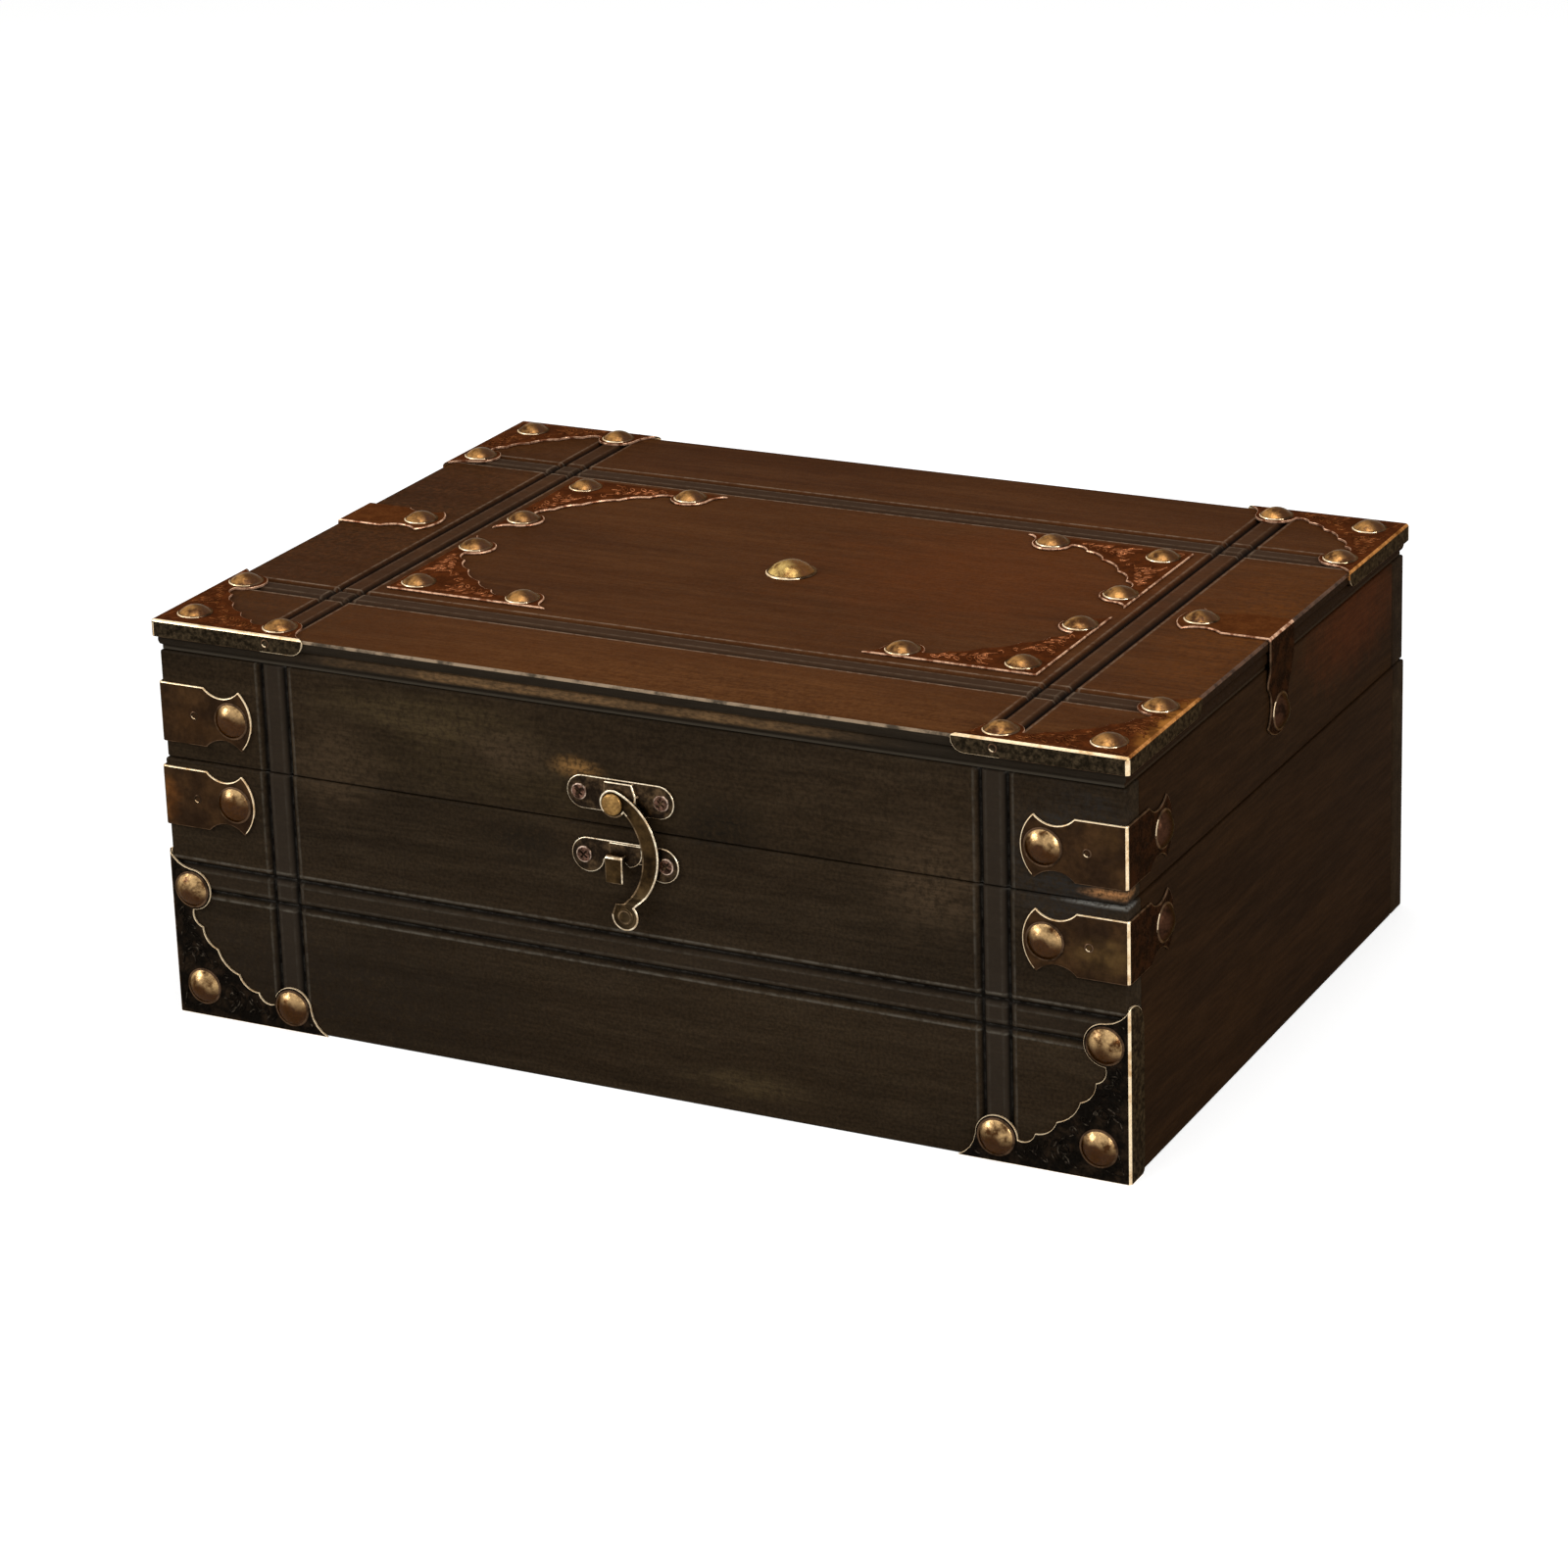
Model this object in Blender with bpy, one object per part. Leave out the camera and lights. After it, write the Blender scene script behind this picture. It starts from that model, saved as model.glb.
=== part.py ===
"""Flat-lidded wooden treasure chest with metal corner plates, studs, a swing latch and butt hinges.

Frame: X to the right, Y to the back, Z up. The origin is under the middle of the floor.
All sizes are in metres.
"""
import bpy
import bmesh
from math import acos, asin, atan2, cos, hypot, pi, radians, sin, sqrt
from mathutils import Matrix, Vector

# Carcass
BASE_WIDTH = 0.2980
BASE_DEPTH = 0.2110
BASE_HEIGHT = 0.0785
LID_WALL_HEIGHT = 0.0322
WALL = 0.0090
FLOOR_THICKNESS = 0.0050
TOP_THICKNESS = 0.0085
LID_SETBACK = 0.0005        # the lid's front and side faces stand this far behind the base's
TOP_OVERHANG = 0.0002       # the top board past the base's faces
JOINT_GAP = 0.0003          # between boards
SEAM_GAP = 0.0003           # between the closed lid and the base
EASED_EDGE = 0.0006

# Moulded edge of the top board
MOULDING_INSET = 0.0014
BEAD_RISE = 0.0009
BEAD_LOW = 0.0012
BEAD_HIGH = 0.0048
COVE_TOP = 0.0062
TOP_ROUND = 0.0005

# Grooves, in pairs
GROOVE_WIDTH = 0.0016
GROOVE_FLOOR = 0.0006
GROOVE_DEPTH = 0.0011
CROSS_GROOVE_DEPTH = 0.0010 # the grooves along X are a little shallower
GROOVE_PITCH = 0.0078
UPRIGHT_PAIR_INSET = 0.0381 # middle of the pair from the base's side
LEVEL_PAIR_DROP = 0.0358    # from the base's top edge
CROSS_PAIR_INSET = 0.0395   # from the base's front or back

# Sheet metal
SHEET = 0.0005
SEAT = 0.0003               # air between a plate and the wood behind it
BEND = 0.0007               # outer radius of a fold

# Corner plates
PLATE_LEG = 0.0505
PLATE_TAIL = 0.0115         # from the end stud to the tip of the leg
PLATE_STUD_INSET = 0.0072   # from the edge
CORNER_STUD = 0.0092
LOBE_RADIUS = 0.0062
SCALLOPED_BOW = 0.0031      # of the long side towards the corner
SCALLOPS = (3, 4, 5, 4, 3)  # widths of the scallops against each other
SCALLOP_SAG = 0.0013
LID_FLANGE = 0.0052
BASE_FLANGE = 0.0095
FLANGE_ROUND = 0.0028
PANEL_PLATE_GAP = 0.0084    # from the middle of a groove pair to a flat plate's corner
PANEL_PLATE_SPACING = 0.0139    # between the tips of a front and a back flat plate

# Wrap straps
STRAP_LEG = 0.0306
STRAP_WIDTH = 0.0180
STRAP_STRAIGHT = 0.0150
STRAP_BOW = 0.0039          # of its rounded end
STRAP_NOTCH = 0.0026
STRAP_STUD_INSET = 0.0066   # from the rounded end
STRAP_ABOVE_SEAM = 0.0049
STRAP_BELOW_RIM = 0.0021
STRAP_ABOVE_PLATE = 0.0079
RIGHT_LID_STRAP_DROP = 0.0005   # the right straps sit a little lower
RIGHT_BASE_STRAP_DROP = 0.0014
EDGE_STRAP_Y = 0.0030
EDGE_STRAP_STEP_Z = 0.0045  # height over which an edge strap steps in to the wall
EDGE_STRAP_CLEARANCE = 0.0002   # below the top board before the step starts

# Domed studs
STUD_RADIUS = 0.0056
STUD_HEIGHT = 0.0026
CENTRE_STUD_RADIUS = 0.0075
CENTRE_STUD_HEIGHT = 0.0038
STUD_SHANK = 0.0009
STUD_SHANK_LENGTH = 0.0065
SHANK_CLEARANCE = 0.0003
STUD_FACETS = 12
STUD_RINGS = 3

# Screws
SCREW_HEAD = 0.0024
SCREW_RIM = 0.00015          # straight rim of the head, below the face that it is sunk in
SCREW_RAISE = 0.0005
SCREW_SHANK = 0.0009
SCREW_LENGTH = 0.0065
SCREW_CLEARANCE = 0.0002
SCREW_FACETS = 10

# Hinges
HINGE_INSET = 0.0690        # middle of a hinge from the base's side
LEAF_LENGTH = 0.0260
LEAF_HEIGHT = 0.0150
LEAF_THICKNESS = 0.0010
BARREL_RADIUS = 0.00225
HINGE_PIN_RADIUS = 0.0010
PIN_CLEARANCE = 0.00015
KNUCKLE_GAP = 0.0003
HINGE_SCREW_END = 0.0050    # from the leaf's end
HINGE_SCREW_EDGE = 0.0055   # from the leaf's long edge

# Latch
LATCH_SHEET = 0.0007
LATCH_PLATE_LENGTH = 0.0332
LATCH_PLATE_HEIGHT = 0.0098
LATCH_PLATE_RISE = 0.0092   # middle of the plate from the lid's lower edge
EAR_SCREW_INSET = 0.0039    # from the end of a latch or catch plate
BOSS_WIDTH = 0.0110
BOSS_RISE = 0.0011
BOSS_SLOPE = 0.0008
PIVOT_X = -0.0012
PIVOT_RISE = 0.0078
ARM_THICKNESS = 0.0010
ARM_PLAY = 0.0002
RIVET_HEAD = 0.0031
RIVET_RISE = 0.0011
RIVET_NECK = 0.0013
RIVET_TAIL = 0.0021
RIVET_TAIL_THICKNESS = 0.0006

# Arm of the latch: two arcs that share no centre, and a finger pad, from the pivot as (x, z)
EYE_RADIUS = 0.00405
ARM_OUTER_RADIUS = 0.01945
ARM_LEAN = 67.3             # direction from the outer arc's centre to the pivot, in degrees
ARM_END_LEAN = -38.8        # where the outer arc ends
ARM_TAPER = 0.00105         # the inner arc's radius is this much smaller
ARM_INNER_SHIFT = (-0.00355, -0.0009)
ARM_INNER_DROP = 0.0014     # the inner arc ends this far below the outer one
PAD_OFFSET = (-0.00554, -0.0053)
PAD_RADIUS = 0.0041
PAD_SPUR = (-0.0029, 0.0035)
PAD_PASS = 0.0002           # between the pad and the hook's tongue, when the lid lifts
PAD_STEP_LOW = 0.0037
PAD_STEP_HIGH = 0.0055
PAD_HOLE = 0.0017

# Catch plate on the base, with its hanging hook
CATCH_X = 0.0010
CATCH_DROP = 0.0086         # middle of the plate from the base's top edge
CATCH_LENGTH = 0.0332
CATCH_HEIGHT = 0.0102
CATCH_WEB_LOW = -0.0008     # underside of the web between the ears, from the plate's middle
HOOK_LEFT = -0.0045         # from the plate's middle
HOOK_WIDTH = 0.0054
HOOK_TOP = 0.0016
HOOK_LENGTH = 0.0079
HOOK_PLAY = 0.0003          # between the arm and the hanging tongue

# Places that follow from the sizes above
BASE_X = BASE_WIDTH / 2
BASE_Y = BASE_DEPTH / 2
LID_X = BASE_X - LID_SETBACK
LID_FRONT_Y = -(BASE_Y - LID_SETBACK)
LID_BACK_Y = BASE_Y
TOP_X = BASE_X + TOP_OVERHANG
TOP_Y = BASE_Y + TOP_OVERHANG
LID_LOW = BASE_HEIGHT + SEAM_GAP
LID_HIGH = LID_LOW + LID_WALL_HEIGHT
TOP_LOW = LID_HIGH + JOINT_GAP
TOP_HIGH = TOP_LOW + TOP_THICKNESS
PLATE_OUT = SEAT + SHEET    # outer face of a plate from the wood
PLATE_END_STUD = PLATE_LEG - PLATE_TAIL
UPRIGHT_PAIR_X = BASE_X - UPRIGHT_PAIR_INSET
CROSS_PAIR_Y = BASE_Y - CROSS_PAIR_INSET
LEVEL_PAIR_Z = BASE_HEIGHT - LEVEL_PAIR_DROP
PANEL_PLATE_X = UPRIGHT_PAIR_X - PANEL_PLATE_GAP
PANEL_PLATE_Y = CROSS_PAIR_Y - PANEL_PLATE_GAP
STRAP_TIP = STRAP_LEG - STRAP_BOW
STRAP_STUD = STRAP_LEG - STRAP_STUD_INSET
LID_STRAP_Z = LID_LOW + STRAP_ABOVE_SEAM + STRAP_WIDTH / 2
BASE_STRAP_Z = BASE_HEIGHT - STRAP_BELOW_RIM - STRAP_WIDTH / 2
BASE_PLATE_RISE = BASE_STRAP_Z - STRAP_WIDTH / 2 - STRAP_ABOVE_PLATE
EDGE_STRAP_STEP_START = PLATE_OUT + TOP_THICKNESS + EDGE_STRAP_CLEARANCE
HINGE_X = BASE_X - HINGE_INSET
HINGE_Y = BASE_Y + SEAT + BARREL_RADIUS
HINGE_Z = BASE_HEIGHT + SEAM_GAP / 2
LATCH_PLATE_Z = LID_LOW + LATCH_PLATE_RISE
PIVOT_Z = LID_LOW + PIVOT_RISE
CATCH_Z = BASE_HEIGHT - CATCH_DROP
ARM_BACK = SEAT + LATCH_SHEET + BOSS_RISE + ARM_PLAY
ARM_FRONT = ARM_BACK + ARM_THICKNESS
HOOK_BACK_Y = LID_FRONT_Y - ARM_FRONT - HOOK_PLAY
HOOK_FRONT_Y = HOOK_BACK_Y - LATCH_SHEET
PAD_STANDOFF = ARM_THICKNESS + HOOK_PLAY + LATCH_SHEET + PAD_PASS

FRONT = Vector((0, -1, 0))
BACK = Vector((0, 1, 0))
LEFT = Vector((-1, 0, 0))
RIGHT = Vector((1, 0, 0))
UP = Vector((0, 0, 1))


def clear_scene():
    for item in list(bpy.data.objects):
        bpy.data.objects.remove(item, do_unlink=True)


def material(name, colour, roughness, metallic):
    result = bpy.data.materials.new(name)
    result.use_nodes = True
    shader = result.node_tree.nodes["Principled BSDF"]
    shader.inputs["Base Color"].default_value = (*colour, 1)
    shader.inputs["Roughness"].default_value = roughness
    shader.inputs["Metallic"].default_value = metallic
    result.diffuse_color = (*colour, 1)
    return result


def add_object(name, mesh, finish, parent=None, matrix=None):
    """Link an object; matrix is its place in the world, whatever its parent."""
    piece = bpy.data.objects.new(name, mesh)
    bpy.context.scene.collection.objects.link(piece)
    if finish and not mesh.materials:
        mesh.materials.append(finish)
    piece.matrix_basis = matrix or Matrix.Identity(4)
    if parent:
        piece.parent = parent
        piece.matrix_parent_inverse = Matrix.Translation(-parent.location)
    return piece


def mesh_from(shape, name, smooth=False):
    bmesh.ops.recalc_face_normals(shape, faces=shape.faces)
    mesh = bpy.data.meshes.new(name)
    shape.to_mesh(mesh)
    shape.free()
    if smooth:
        mesh.shade_smooth()
        mesh.set_sharp_from_angle(angle=radians(40))
    return mesh


def add_tool(name, shape):
    """A shape that only cuts or joins: it stays out of the model."""
    mesh = mesh_from(shape, name)
    tool = bpy.data.objects.new(name, mesh)
    bpy.context.scene.collection.objects.link(tool)
    tool.hide_render = True
    tool.display_type = "WIRE"
    return tool


def boolean(piece, operation, shape, label):
    step = piece.modifiers.new(label, "BOOLEAN")
    step.operation = operation
    step.solver = "EXACT"
    step.object = add_tool(f"{piece.name}_{label}", shape)


def aim(place, direction):
    """Matrix that moves a shape drawn along +Z to a place, turned to a direction."""
    turn = UP.rotation_difference(direction).to_matrix().to_4x4()
    return Matrix.Translation(place) @ turn


def box(low, high):
    shape = bmesh.new()
    size = Vector(high) - Vector(low)
    middle = (Vector(high) + Vector(low)) / 2
    scale = Matrix.Diagonal((*size, 1))
    bmesh.ops.create_cube(shape, size=1, matrix=Matrix.Translation(middle) @ scale)
    return shape


def prism(outline, low, high):
    """Outline in XY, raised from low to high."""
    shape = bmesh.new()
    face = shape.faces.new([shape.verts.new((x, y, low)) for x, y in outline])
    raised = bmesh.ops.extrude_face_region(shape, geom=[face])["geom"]
    corners = [item for item in raised if isinstance(item, bmesh.types.BMVert)]
    bmesh.ops.translate(shape, verts=corners, vec=(0, 0, high - low))
    return shape


def turned(profile, facets):
    """Solid turned about Z; the profile of (radius, height) starts and ends on the axis."""
    shape = bmesh.new()
    rings = []
    for radius, height in profile:
        if radius == 0:
            rings.append([shape.verts.new((0, 0, height))])
            continue
        turns = [2 * pi * k / facets for k in range(facets)]
        rings.append([shape.verts.new((radius * cos(a), radius * sin(a), height)) for a in turns])
    for lower, upper in zip(rings, rings[1:]):
        for k in range(facets):
            low_pair = [lower[k % len(lower)], lower[(k + 1) % len(lower)]]
            high_pair = [upper[(k + 1) % len(upper)], upper[k % len(upper)]]
            corners = list(dict.fromkeys(low_pair + high_pair))
            shape.faces.new(corners)
    return shape


def merge(shapes):
    """Several separate shapes in one, for a tool that cuts or joins in many places."""
    result = bmesh.new()
    for shape in shapes:
        part = bpy.data.meshes.new("part")
        bmesh.ops.recalc_face_normals(shape, faces=shape.faces)
        shape.to_mesh(part)
        shape.free()
        result.from_mesh(part)
        bpy.data.meshes.remove(part)
    return result


def moved(shape, matrix):
    bmesh.ops.transform(shape, matrix=matrix, verts=shape.verts)
    if matrix.determinant() < 0:
        bmesh.ops.reverse_faces(shape, faces=shape.faces)
    return shape


def arc(start, end, sag, steps):
    """Points after start up to end on an arc; a positive sag bows it to the left of the way."""
    x0, y0 = start
    x1, y1 = end
    chord = hypot(x1 - x0, y1 - y0)
    radius = (chord * chord / 4 + sag * sag) / (2 * abs(sag))
    side = 1 if sag > 0 else -1
    normal = (-(y1 - y0) / chord * side, (x1 - x0) / chord * side)
    rise = abs(sag) - radius
    centre = ((x0 + x1) / 2 + normal[0] * rise, (y0 + y1) / 2 + normal[1] * rise)
    first = atan2(y0 - centre[1], x0 - centre[0])
    last = atan2(y1 - centre[1], x1 - centre[0])
    if side > 0 and last > first:
        last -= 2 * pi
    if side < 0 and last < first:
        last += 2 * pi
    turns = [first + (last - first) * k / steps for k in range(1, steps + 1)]
    return [(centre[0] + radius * cos(a), centre[1] + radius * sin(a)) for a in turns]


def circle_run(centre, radius, start, end, steps):
    """Points on a circle from one angle to another, in degrees."""
    angles = [radians(start + (end - start) * k / steps) for k in range(steps + 1)]
    return [(centre[0] + radius * cos(a), centre[1] + radius * sin(a)) for a in angles]


# Fasteners: places, directions and the holes that they need
def dome_profile(radius, height, foot):
    """Shell of a domed head from its rim up, starting on the axis at foot."""
    sphere = (radius * radius + height * height) / (2 * height)
    sweep = asin(radius / sphere)
    profile = [(0, foot), (radius, foot)]
    for k in range(0 if foot < 0 else 1, STUD_RINGS):
        lean = sweep * (1 - k / STUD_RINGS)
        profile.append((sphere * sin(lean), height - sphere * (1 - cos(lean))))
    profile.append((0, height))
    return profile


def stud_mesh(name, radius, height):
    """Domed head with a shank below it, seated at height 0."""
    head = dome_profile(radius, height, 0)[1:]
    shank = [(0, -STUD_SHANK_LENGTH), (STUD_SHANK, -STUD_SHANK_LENGTH), (STUD_SHANK, 0)]
    return mesh_from(turned(shank + head, STUD_FACETS), name, smooth=True)


def screw_profile(clearance=0.0):
    """Countersunk screw seated at height 0, or the hole that takes it."""
    head = SCREW_HEAD + clearance
    shank = SCREW_SHANK + clearance
    foot = -SCREW_LENGTH - clearance
    neck = -SCREW_RIM - (SCREW_HEAD - SCREW_SHANK)
    body = [(0, foot), (shank, foot), (shank, neck), (head, -SCREW_RIM)]
    if clearance:
        return body + [(head, 2 * SCREW_RAISE), (0, 2 * SCREW_RAISE)]
    return body + [(head, 0), (head * 0.7, SCREW_RAISE * 0.8), (0, SCREW_RAISE)]


def screw_hole(place, direction):
    return moved(turned(screw_profile(SCREW_CLEARANCE), SCREW_FACETS), aim(place, direction))


def shank_hole(place, direction, depth):
    """Plain round hole from in front of the place down to a depth."""
    radius = STUD_SHANK + SHANK_CLEARANCE
    profile = [(0, -depth), (radius, -depth), (radius, 2 * SHEET), (0, 2 * SHEET)]
    return moved(turned(profile, STUD_FACETS), aim(place, direction))


def groove_bar(length, depth):
    """Tapered bar along X that cuts a groove into a face at height 0."""
    half_floor = GROOVE_FLOOR / 2
    half_above = GROOVE_WIDTH - half_floor
    outline = [(-half_floor, -depth), (half_floor, -depth), (half_above, depth), (-half_above, depth)]
    bar = prism(outline, -length / 2, length / 2)
    return moved(bar, Matrix(((0, 0, 1, 0), (1, 0, 0, 0), (0, 1, 0, 0), (0, 0, 0, 1))))


def groove_pair(middle, length, turn, shift, depth=GROOVE_DEPTH):
    """Two bars beside each other; shift gives the way from one to the other."""
    bars = []
    for side in (-1, 1):
        place = Matrix.Translation(Vector(middle) + Vector(shift) * side * GROOVE_PITCH / 2)
        bars.append(moved(groove_bar(length, depth), place @ turn))
    return bars


# Wooden boards
def board(name, low, high, finish, parent=None):
    piece = add_object(name, mesh_from(box(low, high), name), finish, parent)
    ease = piece.modifiers.new("eased", "BEVEL")
    ease.width = EASED_EDGE
    ease.segments = 1
    ease.limit_method = "ANGLE"
    return piece


def walls(prefix, half_width, front_y, back_y, low, high, finish, parent=None):
    """Front and back boards that cover the ends of the two side boards."""
    inner_front = front_y + WALL
    inner_back = back_y - WALL
    side_y = (inner_front + JOINT_GAP, inner_back - JOINT_GAP)
    result = {
        "front": board(f"{prefix}_front", (-half_width, front_y, low),
                       (half_width, inner_front, high), finish, parent),
        "back": board(f"{prefix}_back", (-half_width, inner_back, low),
                      (half_width, back_y, high), finish, parent),
        "left": board(f"{prefix}_left", (-half_width, side_y[0], low),
                      (-half_width + WALL, side_y[1], high), finish, parent),
        "right": board(f"{prefix}_right", (half_width - WALL, side_y[0], low),
                       (half_width, side_y[1], high), finish, parent),
    }
    return result


def top_profile():
    """Inset and height of the top board's moulded edge, from its underside up."""
    middle = (BEAD_LOW + BEAD_HIGH) / 2
    half = (BEAD_HIGH - BEAD_LOW) / 2
    profile = [(MOULDING_INSET, 0)]
    for k in range(5):
        swing = radians(-90 + 45 * k)
        profile.append((MOULDING_INSET - BEAD_RISE * cos(swing), middle + half * sin(swing)))
    profile.append((MOULDING_INSET * 0.45, (BEAD_HIGH + COVE_TOP) / 2))
    profile.append((0, COVE_TOP))
    profile.append((0, TOP_THICKNESS - TOP_ROUND))
    profile.append((TOP_ROUND, TOP_THICKNESS))
    return profile


def moulded_board(name, finish, parent):
    """Board whose edge profile runs round all four sides."""
    shape = bmesh.new()
    loops = []
    for inset, height in top_profile():
        x = TOP_X - inset
        y = TOP_Y - inset
        z = TOP_LOW + height
        corners = [(-x, -y, z), (x, -y, z), (x, y, z), (-x, y, z)]
        loops.append([shape.verts.new(corner) for corner in corners])
    for lower, upper in zip(loops, loops[1:]):
        for k in range(4):
            after = (k + 1) % 4
            shape.faces.new((lower[k], lower[after], upper[after], upper[k]))
    shape.faces.new(loops[0][::-1])
    shape.faces.new(loops[-1])
    return add_object(name, mesh_from(shape, name), finish, parent)


# Sheet metal
def sheet_object(name, surface, finish, parent, matrix, thickness=SHEET):
    """Give a surface its thickness, inwards from the side that shows."""
    moved(surface, matrix)
    mesh = bpy.data.meshes.new(name)
    surface.to_mesh(mesh)
    surface.free()
    piece = add_object(name, mesh, finish, parent)
    body = piece.modifiers.new("thickness", "SOLIDIFY")
    body.thickness = thickness
    body.offset = -1
    body.use_even_offset = True
    return piece


def scalloped_outline(stretch):
    """Triangle with two lobed legs and a scalloped long side, its right angle at (0, 0).

    stretch makes the plate longer along Y where it has more room than along X.
    """
    lobe = (PLATE_END_STUD, PLATE_STUD_INSET)
    leg_end = (PLATE_LEG, 0)
    tail = (lobe[0] + LOBE_RADIUS, lobe[1])
    half = [leg_end] + arc(leg_end, tail, 0.0012, 3)
    half += circle_run(lobe, LOBE_RADIUS, 0, 180, 7)[1:]
    mirrored = [(y, x) for x, y in reversed(half)]
    bow = [half[-1]] + arc(half[-1], mirrored[0], SCALLOPED_BOW, sum(SCALLOPS))
    cusps = [bow[sum(SCALLOPS[:k])] for k in range(len(SCALLOPS) + 1)]
    long_side = []
    for start, end in zip(cusps, cusps[1:]):
        long_side += arc(start, end, SCALLOP_SAG, 3)
    outline = [(0, 0)] + half + long_side[:-1] + mirrored
    return [(x, y * stretch) for x, y in outline]


def flange_outline(length, width, round_start):
    """Strip below an edge from 0 to length, its free corners rounded, as (along, down)."""
    end = [(length, 0)] + arc((length, width - FLANGE_ROUND), (length - FLANGE_ROUND, width), 0.0008, 3)
    end.insert(1, (length, width - FLANGE_ROUND))
    if not round_start:
        return end + [(0, width)]
    turn = arc((FLANGE_ROUND, width), (0, width - FLANGE_ROUND), 0.0008, 3)
    return end + [(FLANGE_ROUND, width)] + turn


def corner_surface(flange_x, flange_y, stretch):
    """Outer skin of a corner plate, drawn at a corner at the origin with its face up.

    flange_x hangs from the edge along X and flange_y from the edge along Y; 0 leaves one out.
    """
    shape = bmesh.new()
    corner = shape.verts.new((0, 0, 0))
    outline = scalloped_outline(stretch)
    rim = [corner] + [shape.verts.new((x, y, 0)) for x, y in outline[1:]]
    shape.faces.new(rim)
    folds = []
    shared = None
    if flange_x and flange_y:
        shared = shape.verts.new((0, 0, -flange_x))
    if flange_x:
        points = flange_outline(PLATE_LEG, flange_x, round_start=False)[1:-1]
        strip = [shape.verts.new((a, 0, -down)) for a, down in points]
        shape.faces.new([rim[1], corner, shared] + strip[::-1])
        folds.append((corner, rim[1]))
        folds.append((corner, shared))
    if flange_y:
        points = flange_outline(PLATE_LEG * stretch, flange_y, round_start=shared is None)[1:]
        if shared:
            points = points[:-1]
        strip = [shape.verts.new((0, b, -down)) for b, down in points]
        near = [shared] if shared else []
        shape.faces.new([corner, rim[-1]] + strip + near)
        folds.append((corner, rim[-1]))
    edges = [shape.edges.get(pair) for pair in folds]
    bmesh.ops.bevel(shape, geom=edges, offset=BEND, segments=2, profile=0.5, affect="EDGES")
    return shape


def corner_studs(stretch):
    """Stud places on a corner plate, from its corner."""
    near = (CORNER_STUD, CORNER_STUD)
    along = (PLATE_END_STUD, PLATE_STUD_INSET)
    across = (PLATE_STUD_INSET, PLATE_END_STUD * stretch)
    return [near, along, across]


def corner_plate(name, corner, mirror, finish, parent, flange_x, flange_y, turn=None, stretch=1):
    """Plate with its fixed studs; mirror holds the sign of the way along X and along Y."""
    flip = Matrix.Diagonal((mirror[0], mirror[1], 1, 1))
    matrix = Matrix.Translation(corner) @ (turn or Matrix.Identity(4)) @ flip
    surface = corner_surface(flange_x, flange_y, stretch)
    piece = sheet_object(name, surface, finish, parent, matrix)
    foot = -SHEET / 2
    heads = []
    for x, y in corner_studs(stretch):
        head = turned(dome_profile(STUD_RADIUS, STUD_HEIGHT, foot), STUD_FACETS)
        heads.append(moved(head, matrix @ Matrix.Translation((x, y, 0))))
    boolean(piece, "UNION", merge(heads), "studs")
    return piece


def strap_outline():
    """Half of a wrap strap from its fold out: straight, notched, then a bowed end."""
    half = STRAP_WIDTH / 2
    side = [(STRAP_STRAIGHT, half)]
    side += arc((STRAP_STRAIGHT, half), (STRAP_TIP, half), -STRAP_NOTCH, 5)
    bow = STRAP_LEG - STRAP_TIP
    end = arc((STRAP_TIP, half), (STRAP_TIP, -half), bow, 8)
    back = [(s, -t) for s, t in reversed(side)][1:]
    return side + end + back


def strap_surface():
    """Strap round an upright corner: one leg along -X facing -Y, the other along +Y facing +X.

    The outer faces would meet in the edge at the origin; the width runs along Z.
    """
    shape = bmesh.new()
    half = strap_outline()
    outline = half + [(-s, -t) for s, t in half]
    shape.faces.new([shape.verts.new((s, 0, t)) for s, t in outline])
    quarter = BEND * pi / 4
    cuts = [-quarter, -quarter / 3, quarter / 3, quarter]
    for s in cuts:
        everything = shape.verts[:] + shape.edges[:] + shape.faces[:]
        bmesh.ops.bisect_plane(shape, geom=everything, plane_co=(s, 0, 0), plane_no=(1, 0, 0))
    for point in shape.verts:
        s = point.co.x
        if s >= quarter - 1e-9:
            point.co.x = -(BEND + s - quarter)
            point.co.y = 0
        elif s <= -quarter + 1e-9:
            point.co.x = 0
            point.co.y = BEND - s - quarter
        else:
            lean = (quarter - s) / BEND
            point.co.x = -BEND + BEND * sin(lean)
            point.co.y = BEND - BEND * cos(lean)
    bmesh.ops.recalc_face_normals(shape, faces=shape.faces)
    facing = max(shape.faces, key=lambda face: face.calc_area())
    if facing.normal.dot(Vector((1, -1, 0))) < 0:
        bmesh.ops.reverse_faces(shape, faces=shape.faces)
    return shape


def front_strap(name, z, face_x, face_y, side, finish, parent):
    """Strap round a front corner of the base or the lid; side is -1 left, 1 right."""
    corner = (side * (face_x + PLATE_OUT), face_y - PLATE_OUT, z)
    matrix = Matrix.Translation(corner) @ Matrix.Diagonal((side, 1, 1, 1))
    piece = sheet_object(name, strap_surface(), finish, parent, matrix)
    places = strap_stud_places(face_x, face_y, z, side)
    holes = [shank_hole(place, direction, PLATE_OUT + SHEET) for place, direction in places.values()]
    boolean(piece, "DIFFERENCE", merge(holes), "holes")
    return piece


def strap_stud_places(face_x, face_y, z, side):
    """Where the two studs of a front strap sit on its outer faces, and the way they face."""
    front = Vector((side * (face_x + PLATE_OUT - STRAP_STUD), face_y - PLATE_OUT, z))
    flank = Vector((side * (face_x + PLATE_OUT), face_y - PLATE_OUT + STRAP_STUD, z))
    return {"front": (front, FRONT), "side": (flank, RIGHT * side)}


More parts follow.
